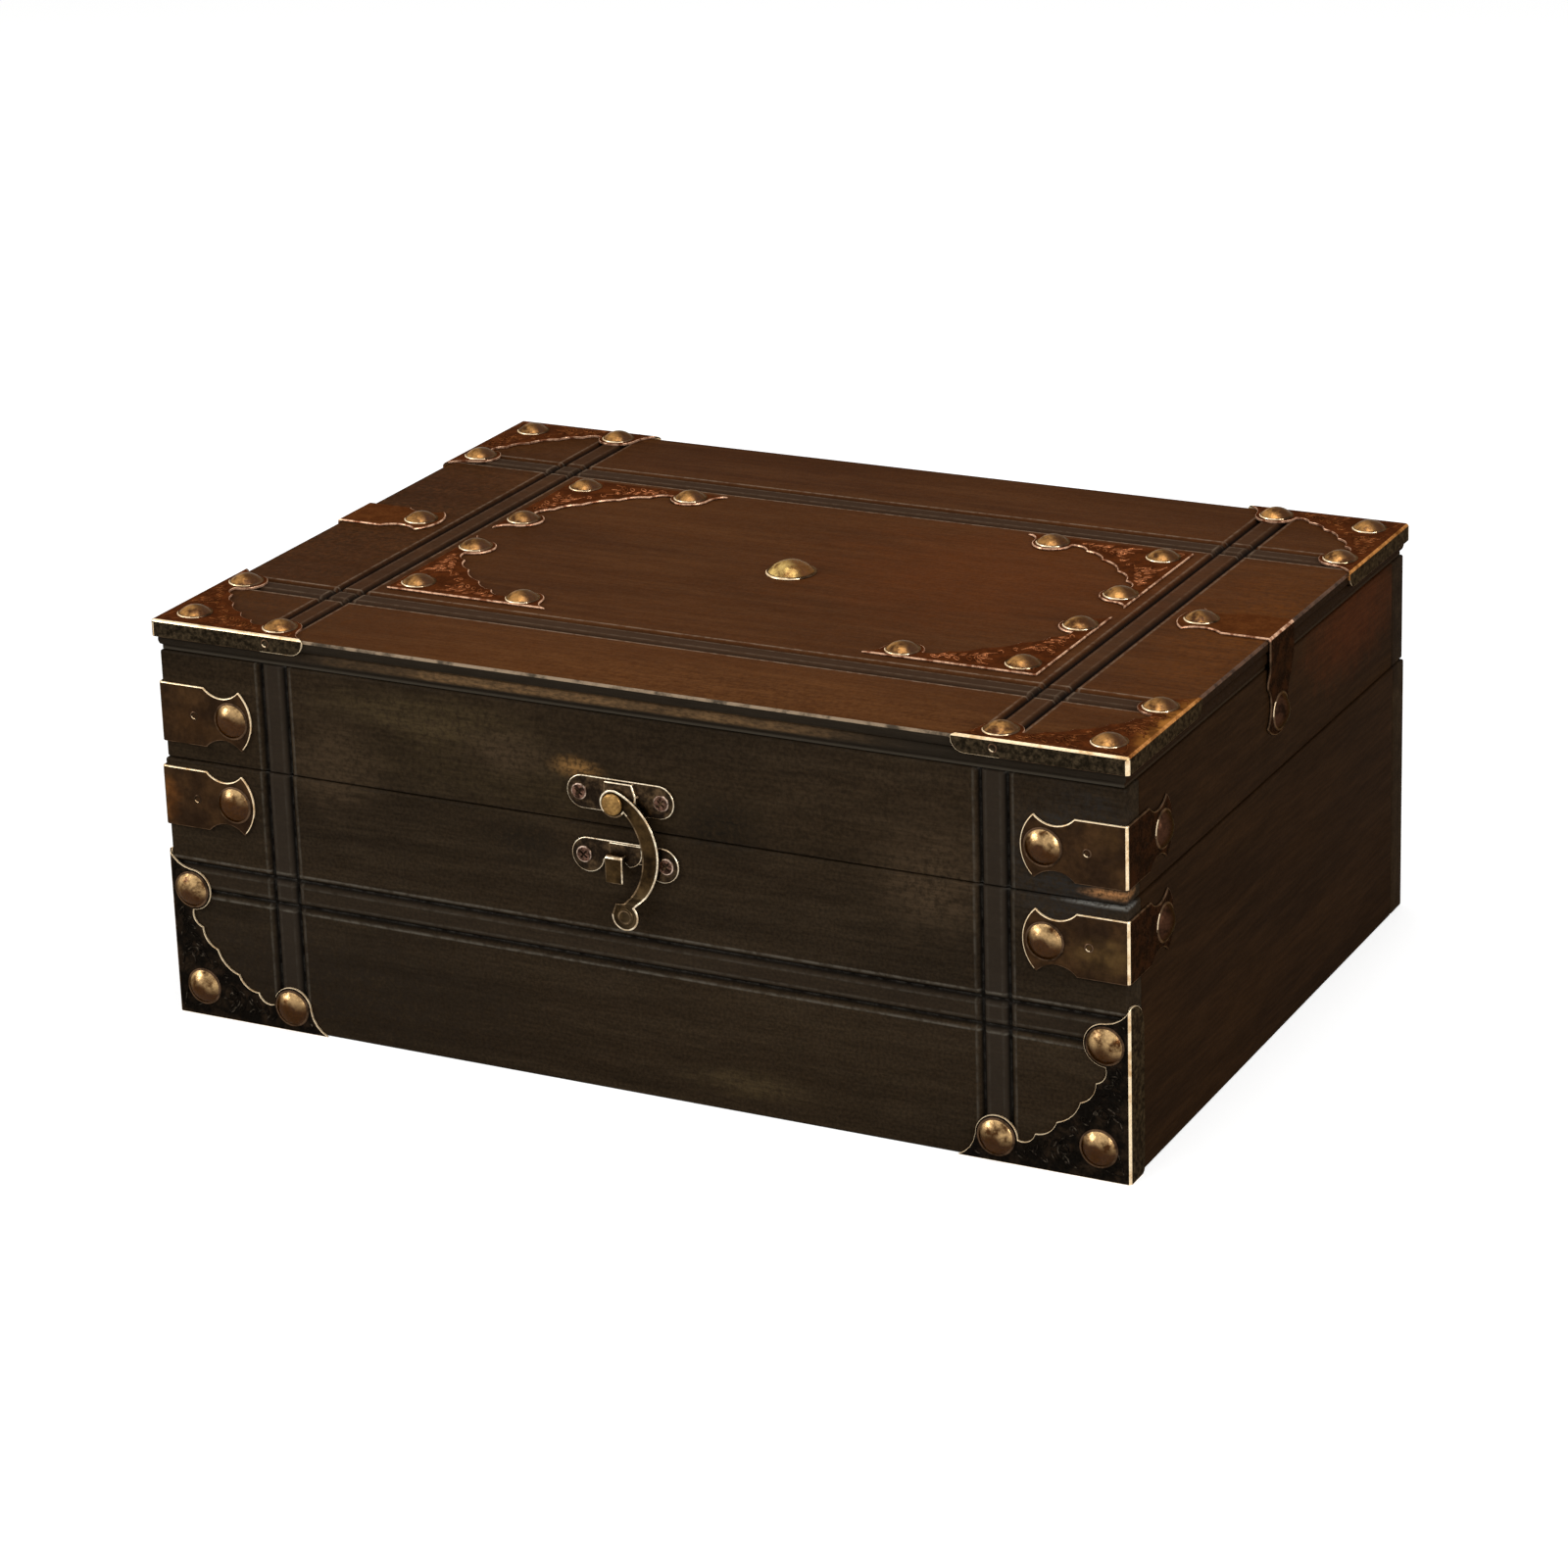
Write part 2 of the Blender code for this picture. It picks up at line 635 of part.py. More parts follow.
def edge_strap(name, side, finish, parent):
    """Strap over the lid's left or right edge that steps in under the moulding to the wall."""
    shape = strap_surface()
    moved(shape, Matrix.Rotation(radians(-90), 4, "X"))
    step_top = -EDGE_STRAP_STEP_START
    step_low = step_top - EDGE_STRAP_STEP_Z
    levels = [step_top - EDGE_STRAP_STEP_Z * k / 3 for k in range(4)]
    for level in levels:
        everything = shape.verts[:] + shape.edges[:] + shape.faces[:]
        bmesh.ops.bisect_plane(shape, geom=everything, plane_co=(0, 0, level), plane_no=(0, 0, 1))
    step = TOP_X - LID_X
    for point in shape.verts:
        share = min(max((step_top - point.co.z) / (step_top - step_low), 0), 1)
        point.co.x -= step * share * share * (3 - 2 * share)
    corner = (side * (TOP_X + PLATE_OUT), EDGE_STRAP_Y, TOP_HIGH + PLATE_OUT)
    matrix = Matrix.Translation(corner) @ Matrix.Diagonal((side, 1, 1, 1))
    piece = sheet_object(name, shape, finish, parent, matrix)
    top_x = side * (TOP_X + PLATE_OUT - STRAP_STUD)
    top_place = (Vector((top_x, EDGE_STRAP_Y, TOP_HIGH + PLATE_OUT)), UP)
    flank_z = TOP_HIGH + PLATE_OUT - STRAP_STUD
    flank_place = (Vector((side * (LID_X + PLATE_OUT), EDGE_STRAP_Y, flank_z)), RIGHT * side)
    heads = []
    for place, direction in (top_place, flank_place):
        head = turned(dome_profile(STUD_RADIUS, STUD_HEIGHT, -SHEET / 2), STUD_FACETS)
        heads.append(moved(head, aim(place, direction)))
    boolean(piece, "UNION", merge(heads), "studs")
    return piece


# Latch
def stand_up(x, y, z):
    """Matrix for a plate drawn in XY with its face up: it then faces the front."""
    return Matrix.Translation((x, y, z)) @ Matrix.Rotation(radians(90), 4, "X")


def stadium(length, height):
    """Outline with two round ends."""
    radius = height / 2
    reach = length / 2 - radius
    right = circle_run((reach, 0), radius, -90, 90, 8)
    left = circle_run((-reach, 0), radius, 90, 270, 8)
    return right + left


def eared_plate(length, height, web_low):
    """Two round ears joined by a web along their upper side."""
    radius = height / 2
    reach = length / 2 - radius
    drop = asin(web_low / radius)
    joint = 180 - drop * 180 / pi
    right = circle_run((reach, 0), radius, joint - 360, 90, 12)
    left = [(-x, y) for x, y in reversed(right)]
    return right + left


def latch_plate(name, finish, parent):
    """Stadium with a raised middle; the rivet's tail is held in the hollow behind it."""
    shape = prism(stadium(LATCH_PLATE_LENGTH, LATCH_PLATE_HEIGHT), 0, LATCH_SHEET)
    matrix = stand_up(0, LID_FRONT_Y - SEAT, LATCH_PLATE_Z)
    piece = add_object(name, mesh_from(moved(shape, matrix), name), finish, parent)
    half = BOSS_WIDTH / 2
    top = LATCH_SHEET + BOSS_RISE
    profile = [(-half, LATCH_SHEET / 2), (half, LATCH_SHEET / 2), (half, LATCH_SHEET),
               (half - BOSS_SLOPE, top), (-half + BOSS_SLOPE, top), (-half, LATCH_SHEET)]
    rise = LATCH_PLATE_HEIGHT / 2 - EASED_EDGE / 2
    boss = moved(prism(profile, -rise, rise), Matrix.Rotation(radians(90), 4, "X"))
    boolean(piece, "UNION", moved(boss, matrix), "boss")
    pivot = Vector((PIVOT_X, LID_FRONT_Y - SEAT, PIVOT_Z))
    neck = RIVET_NECK + PIN_CLEARANCE
    tail = RIVET_TAIL + PIN_CLEARANCE
    floor = RIVET_TAIL_THICKNESS + 2 * ARM_PLAY
    bore = [(0, -SHEET), (tail, -SHEET), (tail, floor), (neck, floor), (neck, 2 * top), (0, 2 * top)]
    boolean(piece, "DIFFERENCE", moved(turned(bore, STUD_FACETS), aim(pivot, FRONT)), "bore")
    holes = [screw_hole(place, FRONT) for place in latch_screw_places()]
    boolean(piece, "DIFFERENCE", merge(holes), "holes")
    return piece


def pair_places(x, spread, y, z):
    return [Vector((x - spread / 2, y, z)), Vector((x + spread / 2, y, z))]


def latch_screw_places():
    spread = LATCH_PLATE_LENGTH - 2 * EAR_SCREW_INSET
    return pair_places(0, spread, LID_FRONT_Y - SEAT - LATCH_SHEET, LATCH_PLATE_Z)


def catch_screw_places():
    spread = CATCH_LENGTH - 2 * EAR_SCREW_INSET
    return pair_places(CATCH_X, spread, -BASE_Y - SEAT - LATCH_SHEET, CATCH_Z)


def rivet_mesh(name):
    """Rivet drawn along +Z from the plate's back face: tail, neck, then a low domed head."""
    head_low = LATCH_SHEET + BOSS_RISE + ARM_PLAY + ARM_THICKNESS + ARM_PLAY
    profile = [(0, ARM_PLAY), (RIVET_TAIL, ARM_PLAY), (RIVET_TAIL, ARM_PLAY + RIVET_TAIL_THICKNESS),
               (RIVET_NECK, ARM_PLAY + RIVET_TAIL_THICKNESS), (RIVET_NECK, head_low),
               (RIVET_HEAD, head_low), (RIVET_HEAD, head_low + RIVET_RISE * 0.45),
               (RIVET_HEAD * 0.6, head_low + RIVET_RISE * 0.9), (0, head_low + RIVET_RISE)]
    return mesh_from(turned(profile, 16), name, smooth=True)


def arm_centres():
    """Centres of the arm's outer arc, inner arc and pad, from the pivot as (x, z)."""
    lean = radians(ARM_LEAN)
    reach = ARM_OUTER_RADIUS - EYE_RADIUS
    outer = (-reach * cos(lean), -reach * sin(lean))
    inner = (outer[0] + ARM_INNER_SHIFT[0], outer[1] + ARM_INNER_SHIFT[1])
    end_x = outer[0] + ARM_OUTER_RADIUS * cos(radians(ARM_END_LEAN))
    end_z = outer[1] + ARM_OUTER_RADIUS * sin(radians(ARM_END_LEAN))
    pad = (end_x + PAD_OFFSET[0], end_z + PAD_OFFSET[1])
    return outer, inner, pad


def arm_outline():
    """Crescent from the eye round to the pad and back, clockwise, about the pivot, as (x, z)."""
    outer, inner, pad = arm_centres()
    outside = circle_run(outer, ARM_OUTER_RADIUS, ARM_LEAN, ARM_END_LEAN, 12)
    end_x, end_z = outside[-1]
    pad_start = atan2(end_z - pad[1], end_x - pad[0]) * 180 / pi
    rim = circle_run(pad, PAD_RADIUS, pad_start, -185, 12)
    spur = (pad[0] + PAD_SPUR[0], pad[1] + PAD_SPUR[1])
    radius = ARM_OUTER_RADIUS - ARM_TAPER
    start = asin((end_z - ARM_INNER_DROP - inner[1]) / radius) * 180 / pi
    reach = hypot(*inner)
    spread = acos((reach ** 2 + EYE_RADIUS ** 2 - radius ** 2) / (2 * reach * EYE_RADIUS))
    join = atan2(inner[1], inner[0]) + spread
    join_x = EYE_RADIUS * cos(join)
    join_z = EYE_RADIUS * sin(join)
    end = atan2(join_z - inner[1], join_x - inner[0]) * 180 / pi
    inside = circle_run(inner, radius, start, end, 10)
    eye = circle_run((0, 0), EYE_RADIUS, join * 180 / pi, ARM_LEAN - 360, 12)[1:-1]
    return outside + rim + [spur] + inside + eye


def latch_arm(name, finish, parent):
    """Flat crescent, its finger pad stepped forward, its origin on the rivet's axis."""
    shape = bmesh.new()
    outline = arm_outline()
    face = shape.faces.new([shape.verts.new((x, z, 0)) for x, z in outline])
    if face.normal.z < 0:
        face.normal_flip()
    raised = bmesh.ops.extrude_face_region(shape, geom=[face])["geom"]
    corners = [item for item in raised if isinstance(item, bmesh.types.BMVert)]
    bmesh.ops.translate(shape, verts=corners, vec=(0, 0, ARM_THICKNESS))
    pad_x, pad_z = arm_centres()[2]
    step_low = pad_z + PAD_STEP_LOW
    step_high = pad_z + PAD_STEP_HIGH
    for k in range(4):
        level = step_low + (step_high - step_low) * k / 3
        everything = shape.verts[:] + shape.edges[:] + shape.faces[:]
        bmesh.ops.bisect_plane(shape, geom=everything, plane_co=(0, level, 0), plane_no=(0, 1, 0))
    for point in shape.verts:
        share = (step_high - point.co.y) / (step_high - step_low)
        share = min(max(share, 0), 1)
        point.co.z += PAD_STANDOFF * share * share * (3 - 2 * share)
    moved(shape, Matrix.Rotation(radians(90), 4, "X"))
    place = Matrix.Translation((PIVOT_X, LID_FRONT_Y - ARM_BACK, PIVOT_Z))
    piece = add_object(name, mesh_from(shape, name), finish, parent, place)
    eye = [(0, -ARM_THICKNESS), (RIVET_NECK + PIN_CLEARANCE, -ARM_THICKNESS),
           (RIVET_NECK + PIN_CLEARANCE, 2 * ARM_THICKNESS), (0, 2 * ARM_THICKNESS)]
    dimple = [(0, -ARM_THICKNESS), (PAD_HOLE, -ARM_THICKNESS),
              (PAD_HOLE, ARM_THICKNESS + 2 * PAD_STANDOFF), (0, ARM_THICKNESS + 2 * PAD_STANDOFF)]
    base = place @ Matrix.Rotation(radians(90), 4, "X")
    tools = [moved(turned(eye, STUD_FACETS), base),
             moved(turned(dimple, STUD_FACETS), base @ Matrix.Translation((pad_x, pad_z, 0)))]
    boolean(piece, "DIFFERENCE", merge(tools), "holes")
    return piece


def catch_plate(name, finish):
    """Eared plate with a hook: a shelf that comes forward, and a tongue hanging from it."""
    shape = prism(eared_plate(CATCH_LENGTH, CATCH_HEIGHT, CATCH_WEB_LOW), 0, LATCH_SHEET)
    matrix = stand_up(CATCH_X, -BASE_Y - SEAT, CATCH_Z)
    piece = add_object(name, mesh_from(moved(shape, matrix), name), finish)
    left = CATCH_X + HOOK_LEFT
    right = left + HOOK_WIDTH
    top = CATCH_Z + HOOK_TOP
    back = -BASE_Y - SEAT - LATCH_SHEET / 2
    side = [(back, top - LATCH_SHEET), (back, top), (HOOK_FRONT_Y + BEND, top),
            (HOOK_FRONT_Y, top - BEND), (HOOK_FRONT_Y, top - HOOK_LENGTH),
            (HOOK_BACK_Y, top - HOOK_LENGTH), (HOOK_BACK_Y, top - LATCH_SHEET)]
    hook = prism(side, left, right)
    moved(hook, Matrix(((0, 0, 1, 0), (1, 0, 0, 0), (0, 1, 0, 0), (0, 0, 0, 1))))
    boolean(piece, "UNION", hook, "hook")
    holes = [screw_hole(place, FRONT) for place in catch_screw_places()]
    boolean(piece, "DIFFERENCE", merge(holes), "holes")
    return piece


# Hinges
def leaf_section(direction):
    """Plate with the barrel round the pin, about the pin, as (y, z); direction is -1 down, 1 up."""
    inner = -BARREL_RADIUS
    outer = inner + LEAF_THICKNESS
    meet = sqrt(BARREL_RADIUS ** 2 - outer ** 2)
    start = atan2(-meet, outer) * 180 / pi
    barrel = circle_run((0, 0), BARREL_RADIUS, start, 180, 14)
    section = [(inner, -LEAF_HEIGHT), (outer, -LEAF_HEIGHT)] + barrel
    return [(y, -z * direction) for y, z in section]


def hinge_leaf(name, x, direction, finish, parent=None):
    """Leaf with its share of the three knuckles; the base's leaf has the two outer ones."""
    bar = prism(leaf_section(direction), -LEAF_LENGTH / 2, LEAF_LENGTH / 2)
    along = Matrix(((0, 0, 1, 0), (1, 0, 0, 0), (0, 1, 0, 0), (0, 0, 0, 1)))
    place = Matrix.Translation((x, HINGE_Y, HINGE_Z))
    piece = add_object(name, mesh_from(moved(bar, place @ along), name, smooth=True), finish, parent)
    third = LEAF_LENGTH / 6
    reach = BARREL_RADIUS + KNUCKLE_GAP
    far = LEAF_LENGTH
    if direction < 0:
        spans = [(-third - KNUCKLE_GAP / 2, third + KNUCKLE_GAP / 2)]
    else:
        spans = [(-far, -third + KNUCKLE_GAP / 2), (third - KNUCKLE_GAP / 2, far)]
    low = -reach if direction < 0 else -far
    high = far if direction < 0 else reach
    gaps = [moved(box((a, -far, low), (b, far, high)), place) for a, b in spans]
    boolean(piece, "DIFFERENCE", merge(gaps), "gaps")
    radius = HINGE_PIN_RADIUS + PIN_CLEARANCE
    bore = turned([(0, -far), (radius, -far), (radius, far), (0, far)], STUD_FACETS)
    boolean(piece, "DIFFERENCE", moved(bore, aim((x, HINGE_Y, HINGE_Z), RIGHT)), "bore")
    holes = [screw_hole(place, BACK) for place in hinge_screw_places(x, direction)]
    boolean(piece, "DIFFERENCE", merge(holes), "holes")
    return piece


def hinge_screw_places(x, direction):
    face_y = BASE_Y + SEAT + LEAF_THICKNESS
    spread = LEAF_LENGTH - 2 * HINGE_SCREW_END
    return pair_places(x, spread, face_y, HINGE_Z + direction * (LEAF_HEIGHT - HINGE_SCREW_EDGE))


def hinge_pin(name, x, finish):
    half = LEAF_LENGTH / 2
    head = HINGE_PIN_RADIUS + 3 * PIN_CLEARANCE
    cap = half + 2 * KNUCKLE_GAP
    profile = [(0, -cap), (head, -cap), (head, -half - KNUCKLE_GAP),
               (HINGE_PIN_RADIUS, -half - KNUCKLE_GAP), (HINGE_PIN_RADIUS, half + KNUCKLE_GAP),
               (head, half + KNUCKLE_GAP), (head, cap), (0, cap)]
    pin = moved(turned(profile, STUD_FACETS), aim((x, HINGE_Y, HINGE_Z), RIGHT))
    return add_object(name, mesh_from(pin, name, smooth=True), finish)


# Assembly
clear_scene()
top_wood = material("chestnut_wood", (0.072, 0.024, 0.008), 0.45, 0.0)
dark_wood = material("dark_wood", (0.020, 0.011, 0.006), 0.55, 0.0)
plate_metal = material("dark_bronze_plate", (0.055, 0.024, 0.012), 0.40, 1.0)
stud_metal = material("antique_brass_stud", (0.42, 0.24, 0.09), 0.32, 1.0)
latch_metal = material("antique_bronze", (0.16, 0.10, 0.05), 0.35, 1.0)
rivet_metal = material("tan_brass", (0.35, 0.22, 0.10), 0.50, 1.0)
steel = material("dull_steel", (0.30, 0.28, 0.25), 0.40, 1.0)

lid_axis = bpy.data.objects.new("lid_axis", None)
lid_axis.location = (0, HINGE_Y, HINGE_Z)
bpy.context.scene.collection.objects.link(lid_axis)

studs = {
    "strap": stud_mesh("strap_stud", STUD_RADIUS, STUD_HEIGHT),
    "centre": stud_mesh("centre_stud", CENTRE_STUD_RADIUS, CENTRE_STUD_HEIGHT),
}
screw = mesh_from(turned(screw_profile(), SCREW_FACETS), "screw", smooth=True)

# Boards
base = walls("base", BASE_X, -BASE_Y, BASE_Y, 0, BASE_HEIGHT, dark_wood)
lid = walls("lid", LID_X, LID_FRONT_Y, LID_BACK_Y, LID_LOW, LID_HIGH, dark_wood, lid_axis)
floor_x = BASE_X - WALL - JOINT_GAP
floor_y = BASE_Y - WALL - JOINT_GAP
board("base_floor", (-floor_x, -floor_y, 0), (floor_x, floor_y, FLOOR_THICKNESS), dark_wood)
top = moulded_board("lid_top", top_wood, lid_axis)

# Grooves
upright = Matrix.Rotation(radians(90), 4, "X") @ Matrix.Rotation(radians(90), 4, "Z")
level = Matrix.Rotation(radians(90), 4, "X")
deep = Matrix.Rotation(radians(90), 4, "Z")
long_way = 2 * BASE_WIDTH
for piece, face_y in ((base["front"], -BASE_Y), (lid["front"], LID_FRONT_Y)):
    bars = []
    for side in (-1, 1):
        bars += groove_pair((side * UPRIGHT_PAIR_X, face_y, BASE_HEIGHT), long_way, upright, (1, 0, 0))
    boolean(piece, "DIFFERENCE", merge(bars), "uprights")
bars = groove_pair((0, -BASE_Y, LEVEL_PAIR_Z), long_way, level, (0, 0, 1), CROSS_GROOVE_DEPTH)
boolean(base["front"], "DIFFERENCE", merge(bars), "levels")
bars = []
for side in (-1, 1):
    bars += groove_pair((side * UPRIGHT_PAIR_X, 0, TOP_HIGH), long_way, deep, (1, 0, 0))
boolean(top, "DIFFERENCE", merge(bars), "lengthways")
bars = []
for side in (-1, 1):
    flat = Matrix.Identity(4)
    middle = (0, side * CROSS_PAIR_Y, TOP_HIGH)
    bars += groove_pair(middle, long_way, flat, (0, 1, 0), CROSS_GROOVE_DEPTH)
boolean(top, "DIFFERENCE", merge(bars), "crossways")

# Corner plates
plate_z = TOP_HIGH + PLATE_OUT
for side, side_name in ((-1, "left"), (1, "right")):
    for end, end_name in ((-1, "front"), (1, "back")):
        corner = (side * (TOP_X + PLATE_OUT), end * (TOP_Y + PLATE_OUT), plate_z)
        inward = (-side, -end)
        corner_plate(f"lid_corner_{end_name}_{side_name}", corner, inward, plate_metal, lid_axis,
                     LID_FLANGE, LID_FLANGE)
        corner = (side * PANEL_PLATE_X, end * PANEL_PLATE_Y, plate_z)
        corner_plate(f"panel_corner_{end_name}_{side_name}", corner, inward, plate_metal, lid_axis,
                     0, 0, None, (PANEL_PLATE_Y - PANEL_PLATE_SPACING / 2) / PLATE_LEG)
    corner = (side * (BASE_X + PLATE_OUT), -BASE_Y - PLATE_OUT, 0)
    turn = Matrix.Rotation(radians(90), 4, "X")
    corner_plate(f"base_corner_{side_name}", corner, (-side, 1), plate_metal, None, 0, BASE_FLANGE,
                 turn, BASE_PLATE_RISE / PLATE_LEG)

# Straps with their studs
wood_holes = {"base_front": [], "base_left": [], "base_right": [], "base_back": [],
              "lid_front": [], "lid_left": [], "lid_right": [], "lid_back": [], "lid_top": []}
stud_depth = PLATE_OUT + STUD_SHANK_LENGTH
strap_z = {"lid_left": LID_STRAP_Z, "lid_right": LID_STRAP_Z - RIGHT_LID_STRAP_DROP,
           "base_left": BASE_STRAP_Z, "base_right": BASE_STRAP_Z - RIGHT_BASE_STRAP_DROP}
strap_sets = (("lid", LID_X, LID_FRONT_Y, lid_axis), ("base", BASE_X, -BASE_Y, None))
for side, side_name in ((-1, "left"), (1, "right")):
    edge_strap(f"lid_edge_strap_{side_name}", side, plate_metal, lid_axis)
    for prefix, face_x, face_y, parent in strap_sets:
        z = strap_z[f"{prefix}_{side_name}"]
        front_strap(f"{prefix}_strap_{side_name}", z, face_x, face_y, side, plate_metal, parent)
        for face_name, (place, direction) in strap_stud_places(face_x, face_y, z, side).items():
            seat = place + direction * SHEET * 0.4
            add_object(f"{prefix}_stud_{side_name}_{face_name}", studs["strap"], stud_metal, parent,
                       aim(seat, direction))
            wood = f"{prefix}_front" if face_name == "front" else f"{prefix}_{side_name}"
            wood_holes[wood].append(shank_hole(place, direction, stud_depth))
centre = Vector((0, 0, TOP_HIGH + SEAT))
add_object("centre_stud", studs["centre"], stud_metal, lid_axis, aim(centre, UP))
wood_holes["lid_top"].append(shank_hole(centre, UP, stud_depth))

# Latch and catch
latch_plate("latch_plate", latch_metal, lid_axis)
rivet_place = aim((PIVOT_X, LID_FRONT_Y - SEAT, PIVOT_Z), FRONT)
add_object("latch_rivet", rivet_mesh("latch_rivet"), rivet_metal, lid_axis, rivet_place)
latch_arm("latch_arm", latch_metal, lid_axis)
catch_plate("catch_plate", latch_metal)
screw_sets = (("latch", latch_screw_places(), "lid_front", lid_axis),
              ("catch", catch_screw_places(), "base_front", None))
for prefix, places, wood, parent in screw_sets:
    for side_name, place in zip(("left", "right"), places):
        add_object(f"{prefix}_screw_{side_name}", screw, latch_metal, parent, aim(place, FRONT))
        wood_holes[wood].append(screw_hole(place, FRONT))

# Hinges
for side, side_name in ((-1, "left"), (1, "right")):
    x = side * HINGE_X
    hinge_leaf(f"hinge_base_leaf_{side_name}", x, -1, steel)
    hinge_leaf(f"hinge_lid_leaf_{side_name}", x, 1, steel, lid_axis)
    hinge_pin(f"hinge_pin_{side_name}", x, steel)
    for direction, prefix, parent in ((-1, "base", None), (1, "lid", lid_axis)):
        for number, place in enumerate(hinge_screw_places(x, direction), 1):
            add_object(f"hinge_{prefix}_screw_{side_name}_{number}", screw, steel, parent, aim(place, BACK))
            wood_holes[f"{prefix}_back"].append(screw_hole(place, BACK))

boards = {f"base_{place}": piece for place, piece in base.items()}
boards.update({f"lid_{place}": piece for place, piece in lid.items()})
boards["lid_top"] = top
for wood, holes in wood_holes.items():
    if holes:
        boolean(boards[wood], "DIFFERENCE", merge(holes), "fastener_holes")
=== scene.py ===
# %% [markdown]
# # A flat-lidded wooden treasure chest
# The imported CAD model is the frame: every board, plate and screw already has its size and
# place. This lesson dresses that frame for its portrait. We model finer versions of the pieces
# that the camera sees, give each one a procedural finish, and let it ride on the same body as
# the CAD piece that it stands for, so that the lid still opens and the latch still swings.

from math import acos, asin, atan2, cos, degrees, hypot, pi, radians, sin

import bpy
from mathutils import Matrix, Vector


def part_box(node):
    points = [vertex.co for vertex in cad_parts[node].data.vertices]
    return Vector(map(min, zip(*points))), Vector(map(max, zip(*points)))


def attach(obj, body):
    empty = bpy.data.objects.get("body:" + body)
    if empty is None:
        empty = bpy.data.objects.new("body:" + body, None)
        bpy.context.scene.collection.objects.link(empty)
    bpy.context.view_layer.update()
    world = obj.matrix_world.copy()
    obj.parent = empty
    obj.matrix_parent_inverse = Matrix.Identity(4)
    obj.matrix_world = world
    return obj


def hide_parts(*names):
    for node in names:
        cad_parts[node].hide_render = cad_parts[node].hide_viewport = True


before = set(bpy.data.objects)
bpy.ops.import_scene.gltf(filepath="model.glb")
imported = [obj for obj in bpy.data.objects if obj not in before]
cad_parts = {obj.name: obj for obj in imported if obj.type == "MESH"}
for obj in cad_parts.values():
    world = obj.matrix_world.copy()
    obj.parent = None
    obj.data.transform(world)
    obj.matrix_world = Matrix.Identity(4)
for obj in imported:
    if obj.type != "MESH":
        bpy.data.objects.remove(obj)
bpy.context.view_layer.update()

# %% [markdown]
# ## The camera
# The photograph was taken from the right and a little above, with a long lens, so that the
# box keeps nearly parallel edges. The place and the angles were found by matching the corners
# of the box. The camera tips by a degree or two, as a hand-held one does.

# %% Set the camera
CAMERA_PLACE = (0.5920, -1.1525, 0.5449)
CAMERA_YAW = radians(27.287)
CAMERA_PITCH = radians(18.351)
CAMERA_ROLL = radians(-1.816)
CAMERA_LENS = 108.47
CAMERA_SHIFT_UP = -0.125

ahead = Vector((-sin(CAMERA_YAW) * cos(CAMERA_PITCH), cos(CAMERA_YAW) * cos(CAMERA_PITCH),
                -sin(CAMERA_PITCH)))
level = Vector((cos(CAMERA_YAW), sin(CAMERA_YAW), 0))
upright = level.cross(ahead)
right = cos(CAMERA_ROLL) * level + sin(CAMERA_ROLL) * upright
up = -sin(CAMERA_ROLL) * level + cos(CAMERA_ROLL) * upright
bpy.ops.object.camera_add(location=CAMERA_PLACE)
camera = bpy.context.object
camera.rotation_euler = Matrix((right, up, -ahead)).transposed().to_euler()
camera.data.lens = CAMERA_LENS
camera.data.sensor_width = 36
camera.data.shift_y = CAMERA_SHIFT_UP
camera.data.clip_end = 50
bpy.context.scene.camera = camera
bpy.context.scene.view_settings.view_transform = "Standard"
print("camera at", CAMERA_PLACE, "lens", CAMERA_LENS)

# %% [markdown]
# ## Working by hand, in code
# Blender's operators act on whatever is selected. These helpers do what the mouse does: they
# deselect everything, take one piece, pick some of its corners, edges or faces by where they
# are, and run a step in edit mode. A helper that only repeats clicks keeps each later cell short.

# %% Helpers for selecting
PARTS = {"VERT": "vertices", "EDGE": "edges", "FACE": "polygons"}


def only(*pieces):
    """Select these pieces and nothing else; the last one is active."""
    bpy.ops.object.select_all(action="DESELECT")
    for piece in pieces:
        piece.select_set(True)
    bpy.context.view_layer.objects.active = pieces[-1]


def named(name):
    """Name the piece that was just made."""
    piece = bpy.context.object
    piece.name = name
    piece.data.name = name
    return piece


def edit(piece, step, kind="FACE", wanted=None, **settings):
    """Run an edit mode step on the corners, edges or faces that pass a test, or on all."""
    only(piece)
    for part in PARTS.values():
        items = getattr(piece.data, part)
        items.foreach_set("select", [False] * len(items))
    chosen = [item for item in getattr(piece.data, PARTS[kind]) if wanted is None or wanted(item)]
    for item in chosen:
        item.select = True
    bpy.context.tool_settings.mesh_select_mode = [kind == other for other in PARTS]
    bpy.ops.object.mode_set(mode="EDIT")
    step(**settings)
    bpy.ops.object.mode_set(mode="OBJECT")
    return len(chosen)


def ends(piece, edge):
    """The two end points of an edge."""
    return [piece.data.vertices[index].co for index in edge.vertices]


def lies_on(piece, edge, *axes):
    """Whether an edge lies at 0 along each of these axes."""
    return all(abs(point[axis]) < 1e-7 for point in ends(piece, edge) for axis in axes)


def along(axis, length=1.0):
    """A vector along one axis."""
    return Vector([length if k == axis else 0 for k in range(3)])


def shift_rows(piece, direction, distance_at):
    """Move each corner along a direction by its own distance, one row of corners at a time."""
    rows = {}
    for vertex in piece.data.vertices:
        distance = round(distance_at(vertex.co), 7)
        if distance > 0:
            rows.setdefault(distance, set()).add(vertex.index)
    for distance, chosen in rows.items():
        edit(piece, bpy.ops.transform.translate, "VERT", lambda vertex: vertex.index in chosen,
             value=direction * distance)


def eased(share):
    """A share from 0 to 1 with a soft start and end."""
    share = min(max(share, 0), 1)
    return share * share * (3 - 2 * share)


